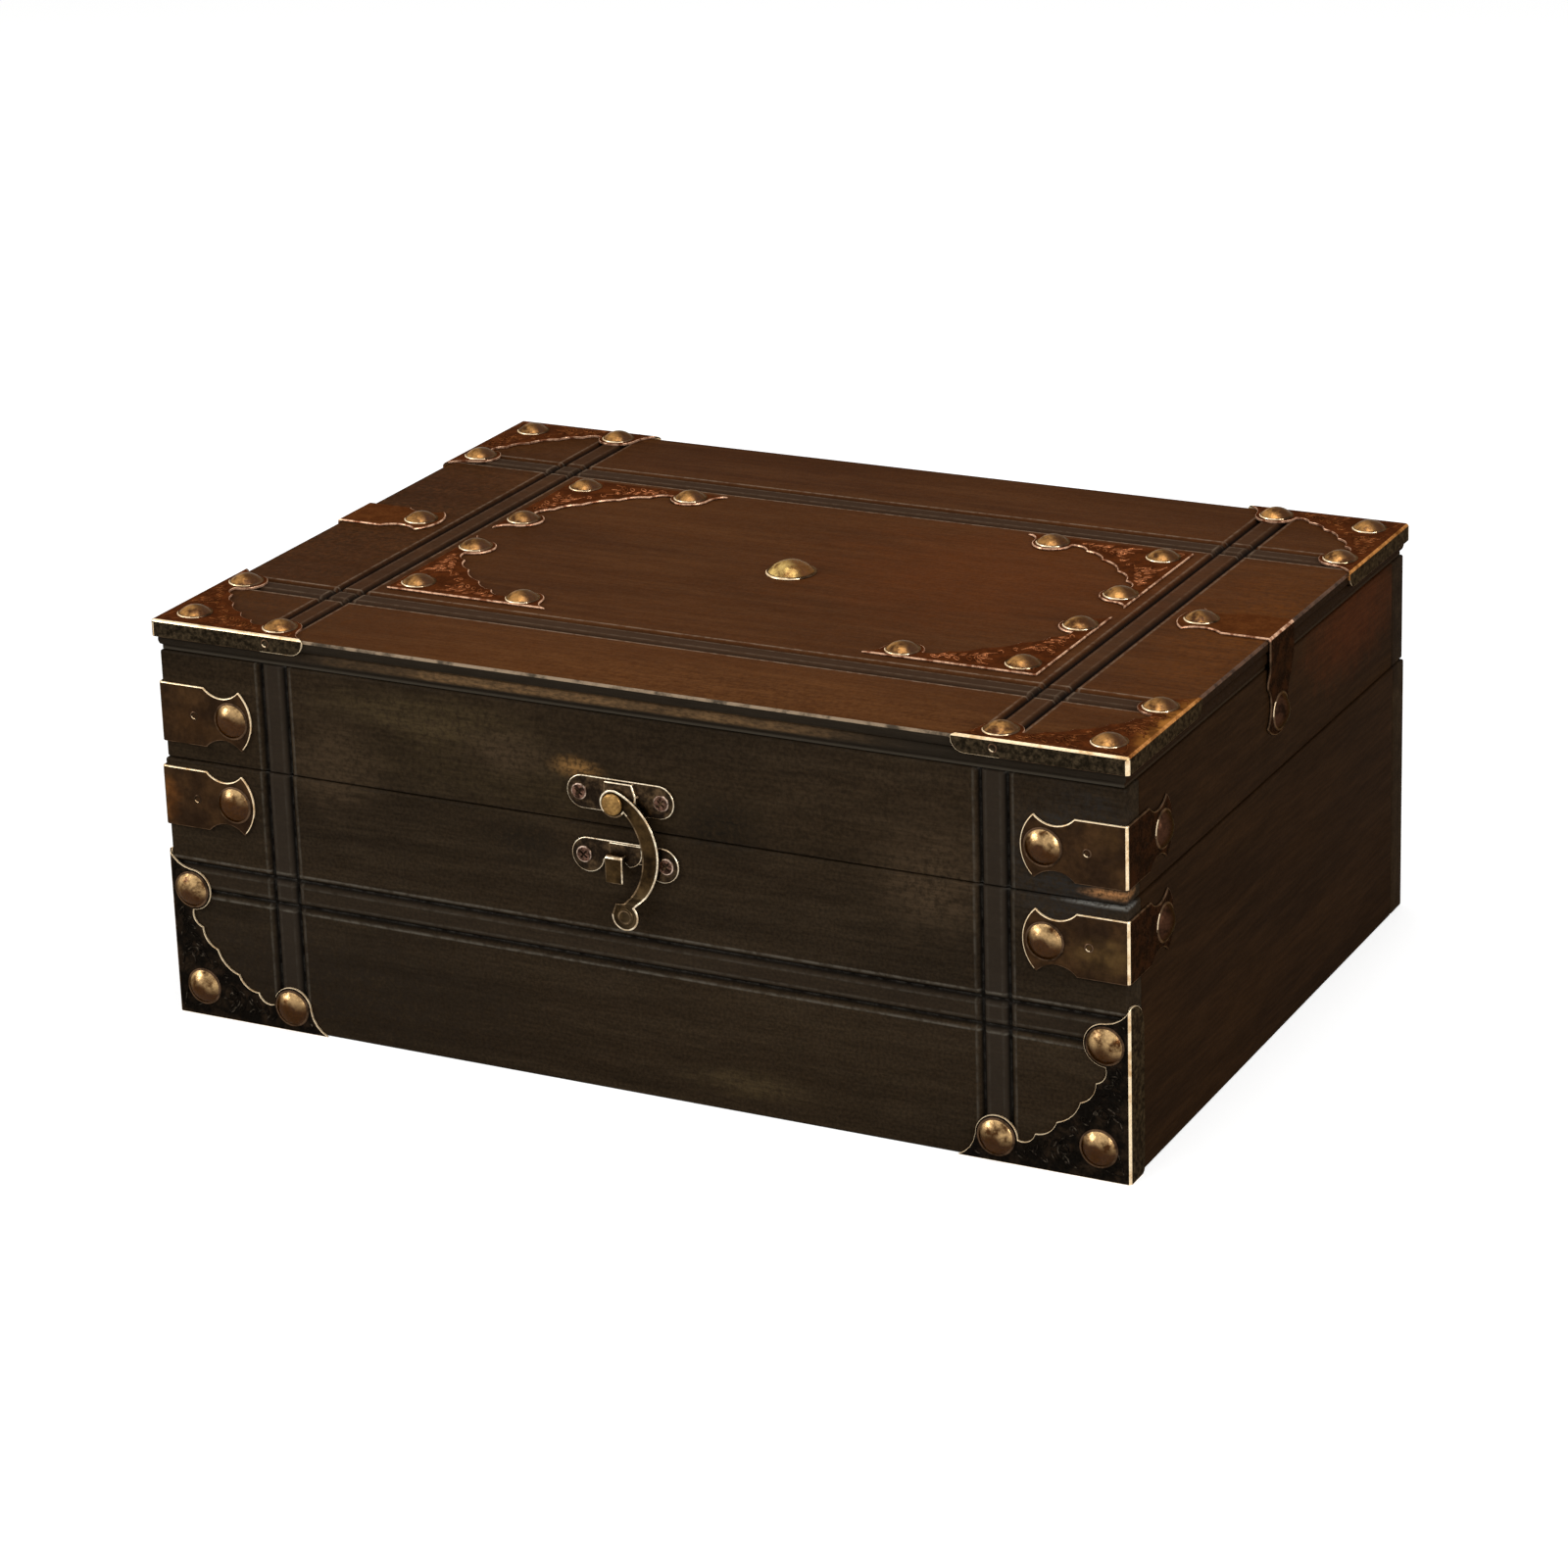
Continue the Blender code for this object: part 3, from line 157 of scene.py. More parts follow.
# %% Helpers for finishing a mesh
def settle(piece, matrix=None):
    """Put the place, turn and size of a piece into its mesh."""
    only(piece)
    if matrix:
        piece.matrix_world = matrix @ piece.matrix_world
    bpy.ops.object.transform_apply(location=True, rotation=True, scale=True)
    return piece


def face_out(piece):
    edit(piece, bpy.ops.mesh.normals_make_consistent, inside=False)


def tidy(piece):
    """Merge doubled corners and turn every face outwards."""
    edit(piece, bpy.ops.mesh.remove_doubles, threshold=1e-6)
    face_out(piece)


def bisect(piece, point, normal):
    edit(piece, bpy.ops.mesh.bisect, plane_co=point, plane_no=normal)


def modifier(piece, kind, **settings):
    """Add a modifier, set it and apply it."""
    only(piece)
    bpy.ops.object.modifier_add(type=kind)
    step = piece.modifiers[-1]
    for name, value in settings.items():
        setattr(step, name, value)
    bpy.ops.object.modifier_apply(modifier=step.name)


def bevel_rims(piece, width, segments=2, angle=50):
    """Bevel the sharp edges; the new faces take the second finish."""
    modifier(piece, "BEVEL", width=width, segments=segments, limit_method="ANGLE",
             angle_limit=radians(angle), material=1, use_clamp_overlap=True)


def smooth(piece, angle=35):
    only(piece)
    bpy.ops.object.shade_smooth_by_angle(angle=radians(angle))


def coat(piece, *finishes):
    """Give a piece its finishes, one for each slot."""
    for finish in finishes:
        piece.data.materials.append(finish)
    return piece


def reslot(piece, slot, wanted):
    """Give the faces that pass a test another slot."""
    for face in piece.data.polygons:
        if wanted(face):
            face.material_index = slot


def shine(piece, direction, dull=1, bright=2, level=0.35):
    """Where faces of one slot look towards a direction, they get another one: this is how highlights
    and shade are painted by the way a face looks.
    """
    reslot(piece, bright, lambda face: face.material_index == dull
           and face.normal.dot(Vector(direction)) > level)


def copy_to(source, name, matrix=Matrix.Identity(4)):
    """A copy with its own mesh, its place put into that mesh."""
    only(source)
    bpy.ops.object.duplicate()
    piece = settle(named(name), matrix)
    if matrix.determinant() < 0:
        face_out(piece)
    return piece


def discard(*pieces):
    only(*pieces)
    bpy.ops.object.delete()


def join(name, *pieces):
    """Join pieces into the last one, which gets the name."""
    only(*pieces)
    bpy.ops.object.join()
    return named(name)


def dress(piece, body, slot_name, *nodes):
    """Let a finished piece ride on its body, in place of the CAD nodes that it stands for."""
    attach(piece, body)
    if nodes:
        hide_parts(*nodes)
    return piece


def centre(node):
    """The middle of a CAD node's box."""
    low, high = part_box(node)
    return (low + high) / 2


# %% [markdown]
# ## Drawing outlines
# Sheet metal starts as a drawing. Here an outline is a list of points, made from arcs, and
# `trace` pulls the corners of a circle onto it, one by one, as you would with the mouse. `spun`
# draws half a section and spins it round the Z axis, which suits studs, screws and rivets.


# %% Helpers for outlines
def arc(start, end, sag, steps):
    """Points after start up to end on an arc; a positive sag bows it to the left of the way."""
    x0, y0 = start
    x1, y1 = end
    chord = hypot(x1 - x0, y1 - y0)
    radius = (chord * chord / 4 + sag * sag) / (2 * abs(sag))
    side = 1 if sag > 0 else -1
    rise = (abs(sag) - radius) * side / chord
    middle = ((x0 + x1) / 2 - (y1 - y0) * rise, (y0 + y1) / 2 + (x1 - x0) * rise)
    first = atan2(y0 - middle[1], x0 - middle[0])
    last = atan2(y1 - middle[1], x1 - middle[0])
    if (last - first) * side > 0:
        last -= 2 * pi * side
    return circle_run(middle, radius, degrees(first), degrees(last), steps)[1:]


def circle_run(middle, radius, start, end, steps):
    """Points on a circle from one angle to another, in degrees."""
    angles = [radians(start + (end - start) * k / steps) for k in range(steps + 1)]
    return [(middle[0] + radius * cos(a), middle[1] + radius * sin(a)) for a in angles]


def trace(name, outline, fill="NGON"):
    """Add a circle with as many corners as the outline has points, and pull them onto it."""
    bpy.ops.mesh.primitive_circle_add(vertices=len(outline), radius=0.01, fill_type=fill)
    piece = named(name)
    for vertex, point in zip(piece.data.vertices, outline):
        vertex.co = (*point, 0)
    if fill == "NGON" and piece.data.polygons[0].normal.z < 0:
        edit(piece, bpy.ops.mesh.flip_normals)
    return piece


def spun(name, profile, steps=32):
    """Spin half a section of (radius, height) round Z; it starts and ends on the axis."""
    piece = trace(name, profile, "NOTHING")
    for vertex, (radius, height) in zip(piece.data.vertices, profile):
        vertex.co = (radius, 0, height)
    edit(piece, bpy.ops.mesh.delete, "EDGE", lambda edge: lies_on(piece, edge, 0), type="EDGE")
    edit(piece, bpy.ops.mesh.spin, "EDGE", steps=steps, angle=2 * pi, center=(0, 0, 0),
         axis=(0, 0, 1))
    tidy(piece)
    smooth(piece)
    return piece


def thicken(piece, height):
    """Extrude a flat outline upwards into a slab."""
    edit(piece, bpy.ops.mesh.extrude_region_move, TRANSFORM_OT_translate={"value": (0, 0, height)})
    tidy(piece)
    return piece


def stand_up(x, y, z):
    """Matrix for a piece drawn in XY with its face up: it then faces the front."""
    return Matrix.Translation((x, y, z)) @ Matrix.Rotation(radians(90), 4, "X")


def aim(place, direction):
    """Matrix that moves a piece drawn along +Z to a place, turned to a direction."""
    turn = Vector((0, 0, 1)).rotation_difference(Vector(direction)).to_matrix().to_4x4()
    return Matrix.Translation(place) @ turn


# %% [markdown]
# ## Building materials
# A procedural finish is a small network of nodes. `add` places one node and wires it at once:
# an input that is given a socket is linked, and one that is given a number or colour is set.


# %% Helpers for nodes
def put(tree, value, socket):
    """Link a socket to an input, or set the input itself."""
    if isinstance(value, bpy.types.NodeSocket):
        tree.links.new(value, socket)
    else:
        socket.default_value = value


def add(tree, kind, inputs, output=0, **settings):
    """Place a node, set and wire it, and give one of its outputs; None gives them all."""
    made = tree.nodes.new(kind)
    for name, value in settings.items():
        setattr(made, name, value)
    for name, value in inputs.items():
        put(tree, value, made.inputs[name])
    return made.outputs if output is None else made.outputs[output]


def calc(tree, operation, *values):
    return add(tree, "ShaderNodeMath", dict(enumerate(values)), operation=operation)


def vector(tree, operation, *values, output=0, **inputs):
    return add(tree, "ShaderNodeVectorMath", {**dict(enumerate(values)), **inputs}, output,
               operation=operation)


def ramp(tree, value, factor, base):
    """A value times a factor, plus a base."""
    return calc(tree, "MULTIPLY_ADD", value, factor, base)


def times(tree, first, *others):
    """The product of some values."""
    for other in others:
        first = calc(tree, "MULTIPLY", first, other)
    return first


def mask(tree, value, low, high):
    """0 below low, 1 above high, smooth between; low may be the larger one."""
    return add(tree, "ShaderNodeMapRange", {"Value": value, "From Min": low, "From Max": high},
               "Result", interpolation_type="SMOOTHSTEP")


def colour(red, green, blue):
    """A colour as picked from a screen, 0 to 255, made linear for the shader."""
    def linear(level):
        share = level / 255
        return share / 12.92 if share <= 0.04045 else ((share + 0.055) / 1.055) ** 2.4
    return (linear(red), linear(green), linear(blue), 1)


def blend(tree, share, first, second, kind="MIX"):
    """Two colours mixed by a share; the numbers are the colour sockets of the node."""
    return add(tree, "ShaderNodeMix", {0: share, 6: first, 7: second}, 2, data_type="RGBA",
               blend_type=kind)


def lay(tree, body, shade, *shares):
    """A finish with a colour laid over it, by the product of some shares."""
    return blend(tree, times(tree, *shares), body, colour(*shade))


def shaded(tree, body, value, amount):
    """A colour made darker where a value is low and lighter where it is high."""
    share = ramp(tree, value, amount, 1 - amount / 2)
    grey = add(tree, "ShaderNodeCombineXYZ", {0: share, 1: share, 2: share})
    return blend(tree, 1.0, body, grey, "MULTIPLY")


def noise(tree, place, scale, detail=3.0, roughness=0.55):
    """Noise at one scale, or stretched by a scale for each axis."""
    if isinstance(scale, tuple):
        place = add(tree, "ShaderNodeMapping", {"Vector": place, "Scale": scale})
        scale = 1.0
    return add(tree, "ShaderNodeTexNoise", {"Vector": place, "Scale": scale, "Detail": detail,
                                            "Roughness": roughness}, "Fac")


def recorded(tree, label):
    """A value that a mesh carries at its corners."""
    return add(tree, "ShaderNodeAttribute", {}, "Fac", attribute_name=label)


def new_group(name, inputs, outputs):
    """An empty node group with named sockets, given as (name, socket type, default)."""
    group = bpy.data.node_groups.new(name, "ShaderNodeTree")
    for label, kind, value in inputs:
        socket = group.interface.new_socket(label, in_out="INPUT", socket_type=f"NodeSocket{kind}")
        if value is not None:
            socket.default_value = value
    for label in outputs:
        group.interface.new_socket(label, in_out="OUTPUT", socket_type="NodeSocketFloat")
    return group, group.nodes.new("NodeGroupInput").outputs, group.nodes.new("NodeGroupOutput").inputs


def place_group(tree, group, **inputs):
    """All the outputs of a group node."""
    return add(tree, "ShaderNodeGroup", inputs, None, node_tree=group)


# %% [markdown]
# ## Shared effects
# Wood grain, rubbed edges with a painted highlight, patches of wear, painted shadow and painted
# reflection, and the mottling of old metal turn up in several finishes, so each one is a node
# group. A group only gives masks and heights; what they do to the colour is up to the material
# that uses them.

# %% Wood grain group
grain_group, got, give = new_group("wood_grain", [("Position", "Vector", None)],
                                   ["Fibre", "Streak", "Blotch", "Height"])
place = got["Position"]
bent = noise(grain_group, place, (9, 22, 22), 2.0)
waver = vector(grain_group, "SCALE", (0, 0.0035, 0.0035), Scale=bent)
wavy = vector(grain_group, "ADD", place, waver)
fibre = noise(grain_group, wavy, (90, 1150, 1150), 4.0, 0.6)
streak = noise(grain_group, wavy, (14, 190, 190), 3.0, 0.5)
blotch = noise(grain_group, place, (9, 34, 34), 2.0, 0.5)
for label, value in (("Fibre", fibre), ("Streak", streak), ("Blotch", blotch),
                     ("Height", ramp(grain_group, streak, 0.35, fibre))):
    put(grain_group, value, give[label])

# %% Edge group: rubbed wear with a painted highlight
edge_group, got, give = new_group("rubbed_and_highlit_edges", [("Position", "Vector", None)], ["Mask"])
rounded = add(edge_group, "ShaderNodeBevel", {"Radius": 0.0012}, samples=6)
flat = add(edge_group, "ShaderNodeNewGeometry", {}, "Normal")
facing = vector(edge_group, "DOT_PRODUCT", rounded, flat, output="Value")
broken = mask(edge_group, noise(edge_group, got["Position"], 260.0, 4.0, 0.65), 0.36, 0.62)
put(edge_group, times(edge_group, mask(edge_group, facing, 0.995, 0.80), broken), give["Mask"])

# %% Patch group: wear, painted shadow and painted reflection
patch_group, got, give = new_group(
    "wear_and_painted_light_patch", [("Position", "Vector", None), ("Centre", "Vector", (0, 0, 0)),
                   ("Reach", "Vector", (0.02, 0.02, 0.02))], ["Mask"])
offset = vector(patch_group, "SUBTRACT", got["Position"], got["Centre"])
share = vector(patch_group, "DIVIDE", offset, got["Reach"])
distance = vector(patch_group, "LENGTH", share, output="Value")
ragged = ramp(patch_group, noise(patch_group, got["Position"], (60, 160, 160), 5.0, 0.65), 0.9,
              calc(patch_group, "SUBTRACT", distance, 0.45))
put(patch_group, mask(patch_group, ragged, 1.0, 0.1), give["Mask"])

# %% Mottled metal group
mottle_group, got, give = new_group(
    "mottled_metal", [("Position", "Vector", None), ("Scale", "Float", 1.0)],
    ["Cloud", "Speck", "Height"])
sized = vector(mottle_group, "SCALE", got["Position"], Scale=got["Scale"])
cloud = noise(mottle_group, sized, 260.0, 4.0, 0.6)
speck = noise(mottle_group, sized, 1400.0, 3.0, 0.6)
dents = ramp(mottle_group, speck, 0.25, noise(mottle_group, sized, 420.0, 2.0, 0.5))
for label, value in (("Cloud", cloud), ("Speck", speck), ("Height", dents)):
    put(mottle_group, value, give[label])

# %% [markdown]
# ## Wood finishes
# The lid's top is chestnut with a satin varnish; the walls are the same wood stained nearly
# black and rubbed back in places. The grain runs along each board, so each direction has its
# own mapping. Grooves are dark in the valley, where stain gathered, with painted shade, and pale
# on the lip, where stain was rubbed away, with a painted highlight: the boards carry attributes
# that say where those are.


# %% The wood finish
def new_finish(name):
    """A material with its node tree and the object's own coordinates."""
    material = bpy.data.materials.new(name)
    material.use_nodes = True
    tree = material.node_tree
    return material, tree, add(tree, "ShaderNodeTexCoord", {}, "Object")


def set_shader(material, inputs, *bump):
    """Wire or set the shader's inputs; a bump is its height, distance and strength."""
    tree = material.node_tree
    if bump:
        inputs["Normal"] = add(tree, "ShaderNodeBump",
                               dict(zip(("Height", "Distance", "Strength"), bump)))
    for name, value in inputs.items():
        put(tree, value, tree.nodes["Principled BSDF"].inputs[name])
    return material


def boundary(tree, value, middle, width):
    """1 where a value is at the middle, falling to 0 at a distance of width."""
    off = calc(tree, "ABSOLUTE", calc(tree, "SUBTRACT", value, middle))
    return mask(tree, off, width, width * 0.4)


def wear_and_painted_light_patches(tree, place, body, patches, coarse):
    """Colours laid over a finish, each as (colour, centre, reach, strength)."""
    for shade, middle, reach, strength in patches:
        patch_share = place_group(tree, patch_group, Position=place, Centre=middle, Reach=reach)
        body = lay(tree, body, shade, patch_share["Mask"], coarse, strength)
    return body


SHEEN = 0.02


def wood(name, dark, middle, light, roughness, turn=0, patches=(), edge_wear_and_highlight_colour=None,
         lip_wear_and_highlight_colour=(74, 62, 52), band_colour=None, tint=None, fibre=0.36, grit=0.2):
    """Stained or varnished boards; patches, a tint, bands and rubbed edges with a painted highlight
    only where given.
    """
    material, tree, place = new_finish(name)
    turned = add(tree, "ShaderNodeMapping", {"Vector": place, "Rotation": (0, 0, turn)})
    grain = place_group(tree, grain_group, Position=turned)
    body = lay(tree, colour(*dark), middle, mask(tree, grain["Blotch"], 0.30, 0.70))
    body = lay(tree, body, light, mask(tree, grain["Streak"], 0.42, 0.72), 0.40)
    if tint:
        tint_colour, tint_middle, reach = tint
        warm = place_group(tree, patch_group, Position=place, Centre=tint_middle, Reach=reach)
        body = lay(tree, body, tint_colour, warm["Mask"], 0.75)
    body = shaded(tree, body, mask(tree, grain["Fibre"], 0.30, 0.72), fibre)
    body = shaded(tree, body, mask(tree, noise(tree, place, 1100.0, 2.0, 0.6), 0.30, 0.70), grit)
    specks = mask(tree, noise(tree, place, 620.0, 4.0, 0.7), 0.36, 0.58)
    coarse = times(tree, ramp(tree, mask(tree, grain["Fibre"], 0.35, 0.65), 0.5, 0.5),
                   ramp(tree, specks, 0.8, 0.2))
    body = wear_and_painted_light_patches(tree, place, body, patches, coarse)
    if band_colour:
        body = lay(tree, body, band_colour, recorded(tree, "band"), 0.75)
    lip_noise = mask(tree, noise(tree, place, 420.0, 4.0, 0.6), 0.36, 0.60)
    # Pale lips are rubbed wear with a painted highlight; the dark valleys below are stain with painted
    # shade.
    body = lay(tree, body, lip_wear_and_highlight_colour, recorded(tree, "lip"), ramp(tree, lip_noise, 0.6, 0.3))
    body = lay(tree, body, (13, 11, 9), recorded(tree, "groove"), 0.94)
    # Edges are paler: rubbed wear with a painted highlight.
    if edge_wear_and_highlight_colour:
        body = lay(tree, body, edge_wear_and_highlight_colour, place_group(tree, edge_group, Position=place)["Mask"], 0.8)
    return set_shader(material, {
        "Base Color": body, "Roughness": ramp(tree, grain["Blotch"], 0.22, roughness - 0.10),
        "Specular IOR Level": 0.0, "Coat Weight": ramp(tree, grain["Streak"], SHEEN, SHEEN * 0.5),
        "Coat Roughness": 0.32}, grain["Height"], 0.0003, 0.35)


FRONT_FACE = -0.1055
# each patch on the front, rubbed spots and the painted shadows and reflection marked below: its
# colour, place across and up, reach across and up, and strength
GOLD, OLIVE, RUBBED, PAINTED_SHADOW = (138, 100, 56), (80, 66, 42), (66, 52, 37), (26, 21, 15)
FRONT_WEAR_AND_PAINTED_LIGHT = ((GOLD, -0.0135, 0.0942, 0.011, 0.0046, 1.0), (OLIVE, -0.060, 0.102, 0.05, 0.010, 0.50),
              (OLIVE, 0.036, 0.009, 0.030, 0.006, 0.50), (OLIVE, -0.03, 0.088, 0.10, 0.014, 0.22),
              (RUBBED, 0.092, 0.078, 0.024, 0.024, 1.0), (RUBBED, -0.092, 0.084, 0.024, 0.022, 0.8),
              # The last patch here and the first on the next line are painted shadows beside the latch.
              (RUBBED, -0.036, 0.095, 0.020, 0.010, 1.0), (PAINTED_SHADOW, 0.030, 0.083, 0.020, 0.016, 1.0),
              (PAINTED_SHADOW, -0.031, 0.070, 0.018, 0.012, 0.9),
              ((40, 38, 36), 0.133, 0.088, 0.030, 0.032, 1.0),
              ((34, 27, 20), -0.10, 0.015, 0.10, 0.030, 1.0),
              # A painted reflection along the top edge of the base, at the right.
              ((112, 110, 104), 0.143, 0.0782, 0.017, 0.0010, 1.0),
              ((176, 124, 78), 0.1440, 0.0814, 0.010, 0.0020, 0.9))
top_wood = wood("chestnut_top", (66, 37, 17), (77, 44, 20), (88, 53, 25), 0.46,
                lip_wear_and_highlight_colour=(138, 118, 98), band_colour=(54, 42, 32), fibre=0.24,
                patches=(((48, 27, 9), (-0.140, 0.0, 0.12), (0.070, 0.15, 0.05), 1.0),
                         ((104, 58, 20), (0.140, 0.0, 0.12), (0.030, 0.09, 0.05), 0.6),
                         ((62, 40, 24), (-0.150, -0.10, 0.12), (0.14, 0.06, 0.05), 0.70),
                         ((102, 64, 33), (0.03, -0.096, 0.12), (0.15, 0.026, 0.05), 0.60)),
                tint=((88, 46, 18), (0.06, 0.02, 0.12), (0.09, 0.070, 0.05)))
front_wood = wood("stained_front", (34, 26, 17), (42, 32, 21), (53, 42, 29), 0.52,
                  patches=[(shade, (x, FRONT_FACE, z), (wide, 0.01, tall), strength)
                           for shade, x, z, wide, tall, strength in FRONT_WEAR_AND_PAINTED_LIGHT],
                  lip_wear_and_highlight_colour=(92, 86, 76), band_colour=(44, 37, 30), edge_wear_and_highlight_colour=(76, 72, 66), grit=0.5)
side_wood = wood("stained_side", (34, 22, 12), (41, 26, 13), (49, 31, 15), 0.50, turn=radians(-90),
                 edge_wear_and_highlight_colour=(56, 40, 27),
                 tint=((66, 33, 14), (0.149, 0.065, 0.105), (0.05, 0.055, 0.022)))
back_wood = wood("stained_back", (34, 25, 17), (42, 31, 20), (54, 41, 27), 0.52,
                 edge_wear_and_highlight_colour=(66, 50, 32))
print("wood finishes:", top_wood.name, front_wood.name, side_wood.name, back_wood.name)

# %% [markdown]
# The moulding round the lid is stained like the walls. Its upper edge was rubbed pale along its
# whole length and carries a painted highlight, the bead was rubbed to a speckled gold in the
# middle of the front, and a thin grey painted highlight runs along its lower edge.


# %% Moulding and edge finishes
def moulding_wood(name, stain, gold_strength, lower_edge_highlight_colour):
    material, tree, place = new_finish(name)
    grain = place_group(tree, grain_group, Position=place)
    body = shaded(tree, colour(*stain), grain["Fibre"], 0.8)
    parts = add(tree, "ShaderNodeSeparateXYZ", {0: place}, None)
    height = calc(tree, "SUBTRACT", parts["Z"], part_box("lid_top")[0].z)
    speckle = mask(tree, noise(tree, place, (500, 1500, 1500), 4.0, 0.7), 0.30, 0.70)
    uneven = ramp(tree, mask(tree, noise(tree, place, 60.0, 3.0, 0.6), 0.36, 0.62), 0.6, 0.4)
    body = lay(tree, body, (132, 100, 66), boundary(tree, height, 0.0036, 0.0020),
               boundary(tree, parts["X"], -0.012, 0.105), uneven, ramp(tree, speckle, 0.7, 0.3),
               gold_strength)
    # A thin grey painted highlight along the moulding's lower edge.
    body = lay(tree, body, lower_edge_highlight_colour, boundary(tree, height, 0.0002, 0.0007), 0.8)
    return set_shader(material, {
        "Base Color": body, "Roughness": ramp(tree, speckle, -0.15, 0.6), "Specular IOR Level": 0.0,
        "Coat Weight": times(tree, speckle, 0.04), "Coat Roughness": 0.35},
        grain["Height"], 0.0003, 0.4)


def pale_edge(name, low_colour, high_colour):
    material, tree, place = new_finish(name)
    patchy = mask(tree, noise(tree, place, 240.0, 4.0, 0.65), 0.30, 0.60)
    return set_shader(material, {
        "Base Color": lay(tree, colour(*low_colour), high_colour, patchy),
        "Roughness": ramp(tree, patchy, -0.2, 0.7), "Specular IOR Level": 0.1}, patchy, 0.0001, 0.4)


front_moulding = moulding_wood("moulding_front", (37, 31, 24), 0.60, (62, 56, 47))
side_moulding = moulding_wood("moulding_side", (34, 22, 12), 0.0, (46, 36, 25))
# The rounded upper edge of the top: rubbed pale, with a painted highlight.
front_edge = pale_edge("rubbed_and_highlit_edge_front", (64, 54, 42), (140, 120, 97))
side_edge = pale_edge("rubbed_and_highlit_edge_side", (40, 26, 16), (84, 56, 36))
print("moulding finishes:", front_moulding.name, side_moulding.name, front_edge.name, side_edge.name)

# %% [markdown]
# ## Metal finishes
# Each plate, strap and latch piece is dark where the patina stayed and bright where hands and
# cloths reach it: along rims and folds. The bright rims carry a painted highlight too, and rims
# that face away from the lamps take darker copies of the rim finishes as painted shade. The rims
# are separate faces, made by the bevels, so they can take a second material. Studs are cloudy
# brass with brown left in the hollows, brown as painted shade on the side away from the lamps,
# and a painted highlight on the lip.

# %% The metal finish
FINE_BUMP = 0.00006


def metal(name, dark, light, low, high, roughness, scale=1.0, bump=0.00012, metallic=1.0, speck=0.5,
          edge_tint=1.0, patches=()):
    """Clouded metal; a low edge tint keeps a patinated plate from shining at a flat angle."""
    material, tree, place = new_finish(name)
    mottle = place_group(tree, mottle_group, Position=place, Scale=scale)
    body = lay(tree, colour(*dark), light, mask(tree, mottle["Cloud"], low, high))
    body = shaded(tree, body, mask(tree, mottle["Speck"], 0.35, 0.65), speck)
    body = wear_and_painted_light_patches(tree, place, body, patches,
                        ramp(tree, mask(tree, mottle["Cloud"], 0.40, 0.60), 0.7, 0.3))
    return set_shader(material, {
        "Base Color": body, "Roughness": ramp(tree, mottle["Cloud"], -0.25, roughness + 0.12),
        "Metallic": metallic, "Specular IOR Level": 0.0 if metallic < 0.9 else 0.5,
        "Specular Tint": (edge_tint, edge_tint * 0.86, edge_tint * 0.72, 1)},
        mottle["Height"], bump, 0.6)


def brass(name, patina_and_shade, face, roughness, scale=1.0, metallic=0.9, lacquer=0.1):
    """Antique stud metal: brown patina in clouds over a rubbed, lacquered dome; a recorded value adds
    the brown as painted shade and a painted dark reflection.
    """
    material, tree, place = new_finish(name)
    mottle = place_group(tree, mottle_group, Position=place, Scale=scale)
    patchy = mask(tree, mottle["Cloud"], 0.36, 0.62)
    # The recorded value holds painted shade, a painted dark reflection and each stud's own tone.
    uneven = ramp(tree, mottle["Cloud"], 0.7, calc(tree, "SUBTRACT", recorded(tree, "patina_and_shade"), 0.2))
    body = lay(tree, colour(*patina_and_shade), face, patchy)
    body = lay(tree, body, patina_and_shade, mask(tree, uneven, 0.15, 0.80))
    return set_shader(material, {
        "Base Color": shaded(tree, body, mask(tree, mottle["Speck"], 0.35, 0.65), 0.3),
        "Roughness": ramp(tree, patchy, -0.08, roughness + 0.08), "Metallic": metallic,
        "Specular IOR Level": 0.0, "Specular Tint": (0.62, 0.52, 0.40, 1),
        "Coat Weight": ramp(tree, patchy, lacquer, lacquer), "Coat Roughness": 0.14},
        mottle["Height"], 0.0003, 0.6)


lid_plate = metal("reddish_plate", (64, 33, 15), (88, 46, 21), 0.35, 0.70, 0.45, metallic=0.3,
                  speck=0.3, edge_tint=0.45,
                  patches=(((196, 132, 62), (0.151, -0.080, 0.124), (0.0075, 0.034, 0.01), 0.75),
                           ((150, 96, 44), (0.120, -0.108, 0.124), (0.030, 0.0045, 0.01), 0.60)))
flange_plate = metal("flange_plate", (26, 21, 14), (70, 58, 42), 0.34, 0.80, 0.45, 3.2, metallic=0.4,
                     edge_tint=0.5)
flank_plate = metal("dark_plate", (17, 14, 11), (38, 29, 21), 0.42, 0.70, 0.45, metallic=0.4,
                    edge_tint=0.5)
strap_plate = metal("brown_strap", (42, 29, 19), (68, 47, 28), 0.36, 0.74, 0.42, 0.4, metallic=0.4,
                    speck=0.3, edge_tint=0.5,
                    patches=(((118, 92, 52), (0.143, -0.112, 0.064), (0.016, 0.01, 0.009), 0.8),
                             ((84, 60, 32), (0.145, -0.112, 0.094), (0.010, 0.01, 0.010), 0.6),
                             ((150, 90, 40), (-0.1485, -0.112, 0.066), (0.007, 0.01, 0.010), 0.9),
                             ((52, 32, 16), (-0.138, -0.112, 0.090), (0.020, 0.01, 0.010), 0.7)))
shaded_side_strap = metal("shaded_side_strap", (30, 19, 11), (46, 27, 14), 0.38, 0.68, 0.45, metallic=0.3,
                   edge_tint=0.4)
edge_strap_plate = metal("chestnut_strap", (76, 41, 18), (92, 53, 25), 0.35, 0.70, 0.45, metallic=0.25,
                         speck=0.3, edge_tint=0.4)
amber_fold = metal("amber_fold", (112, 66, 32), (194, 132, 74), 0.34, 0.64, 0.34, 1, FINE_BUMP,
                   0.6, 0.3, 0.6)
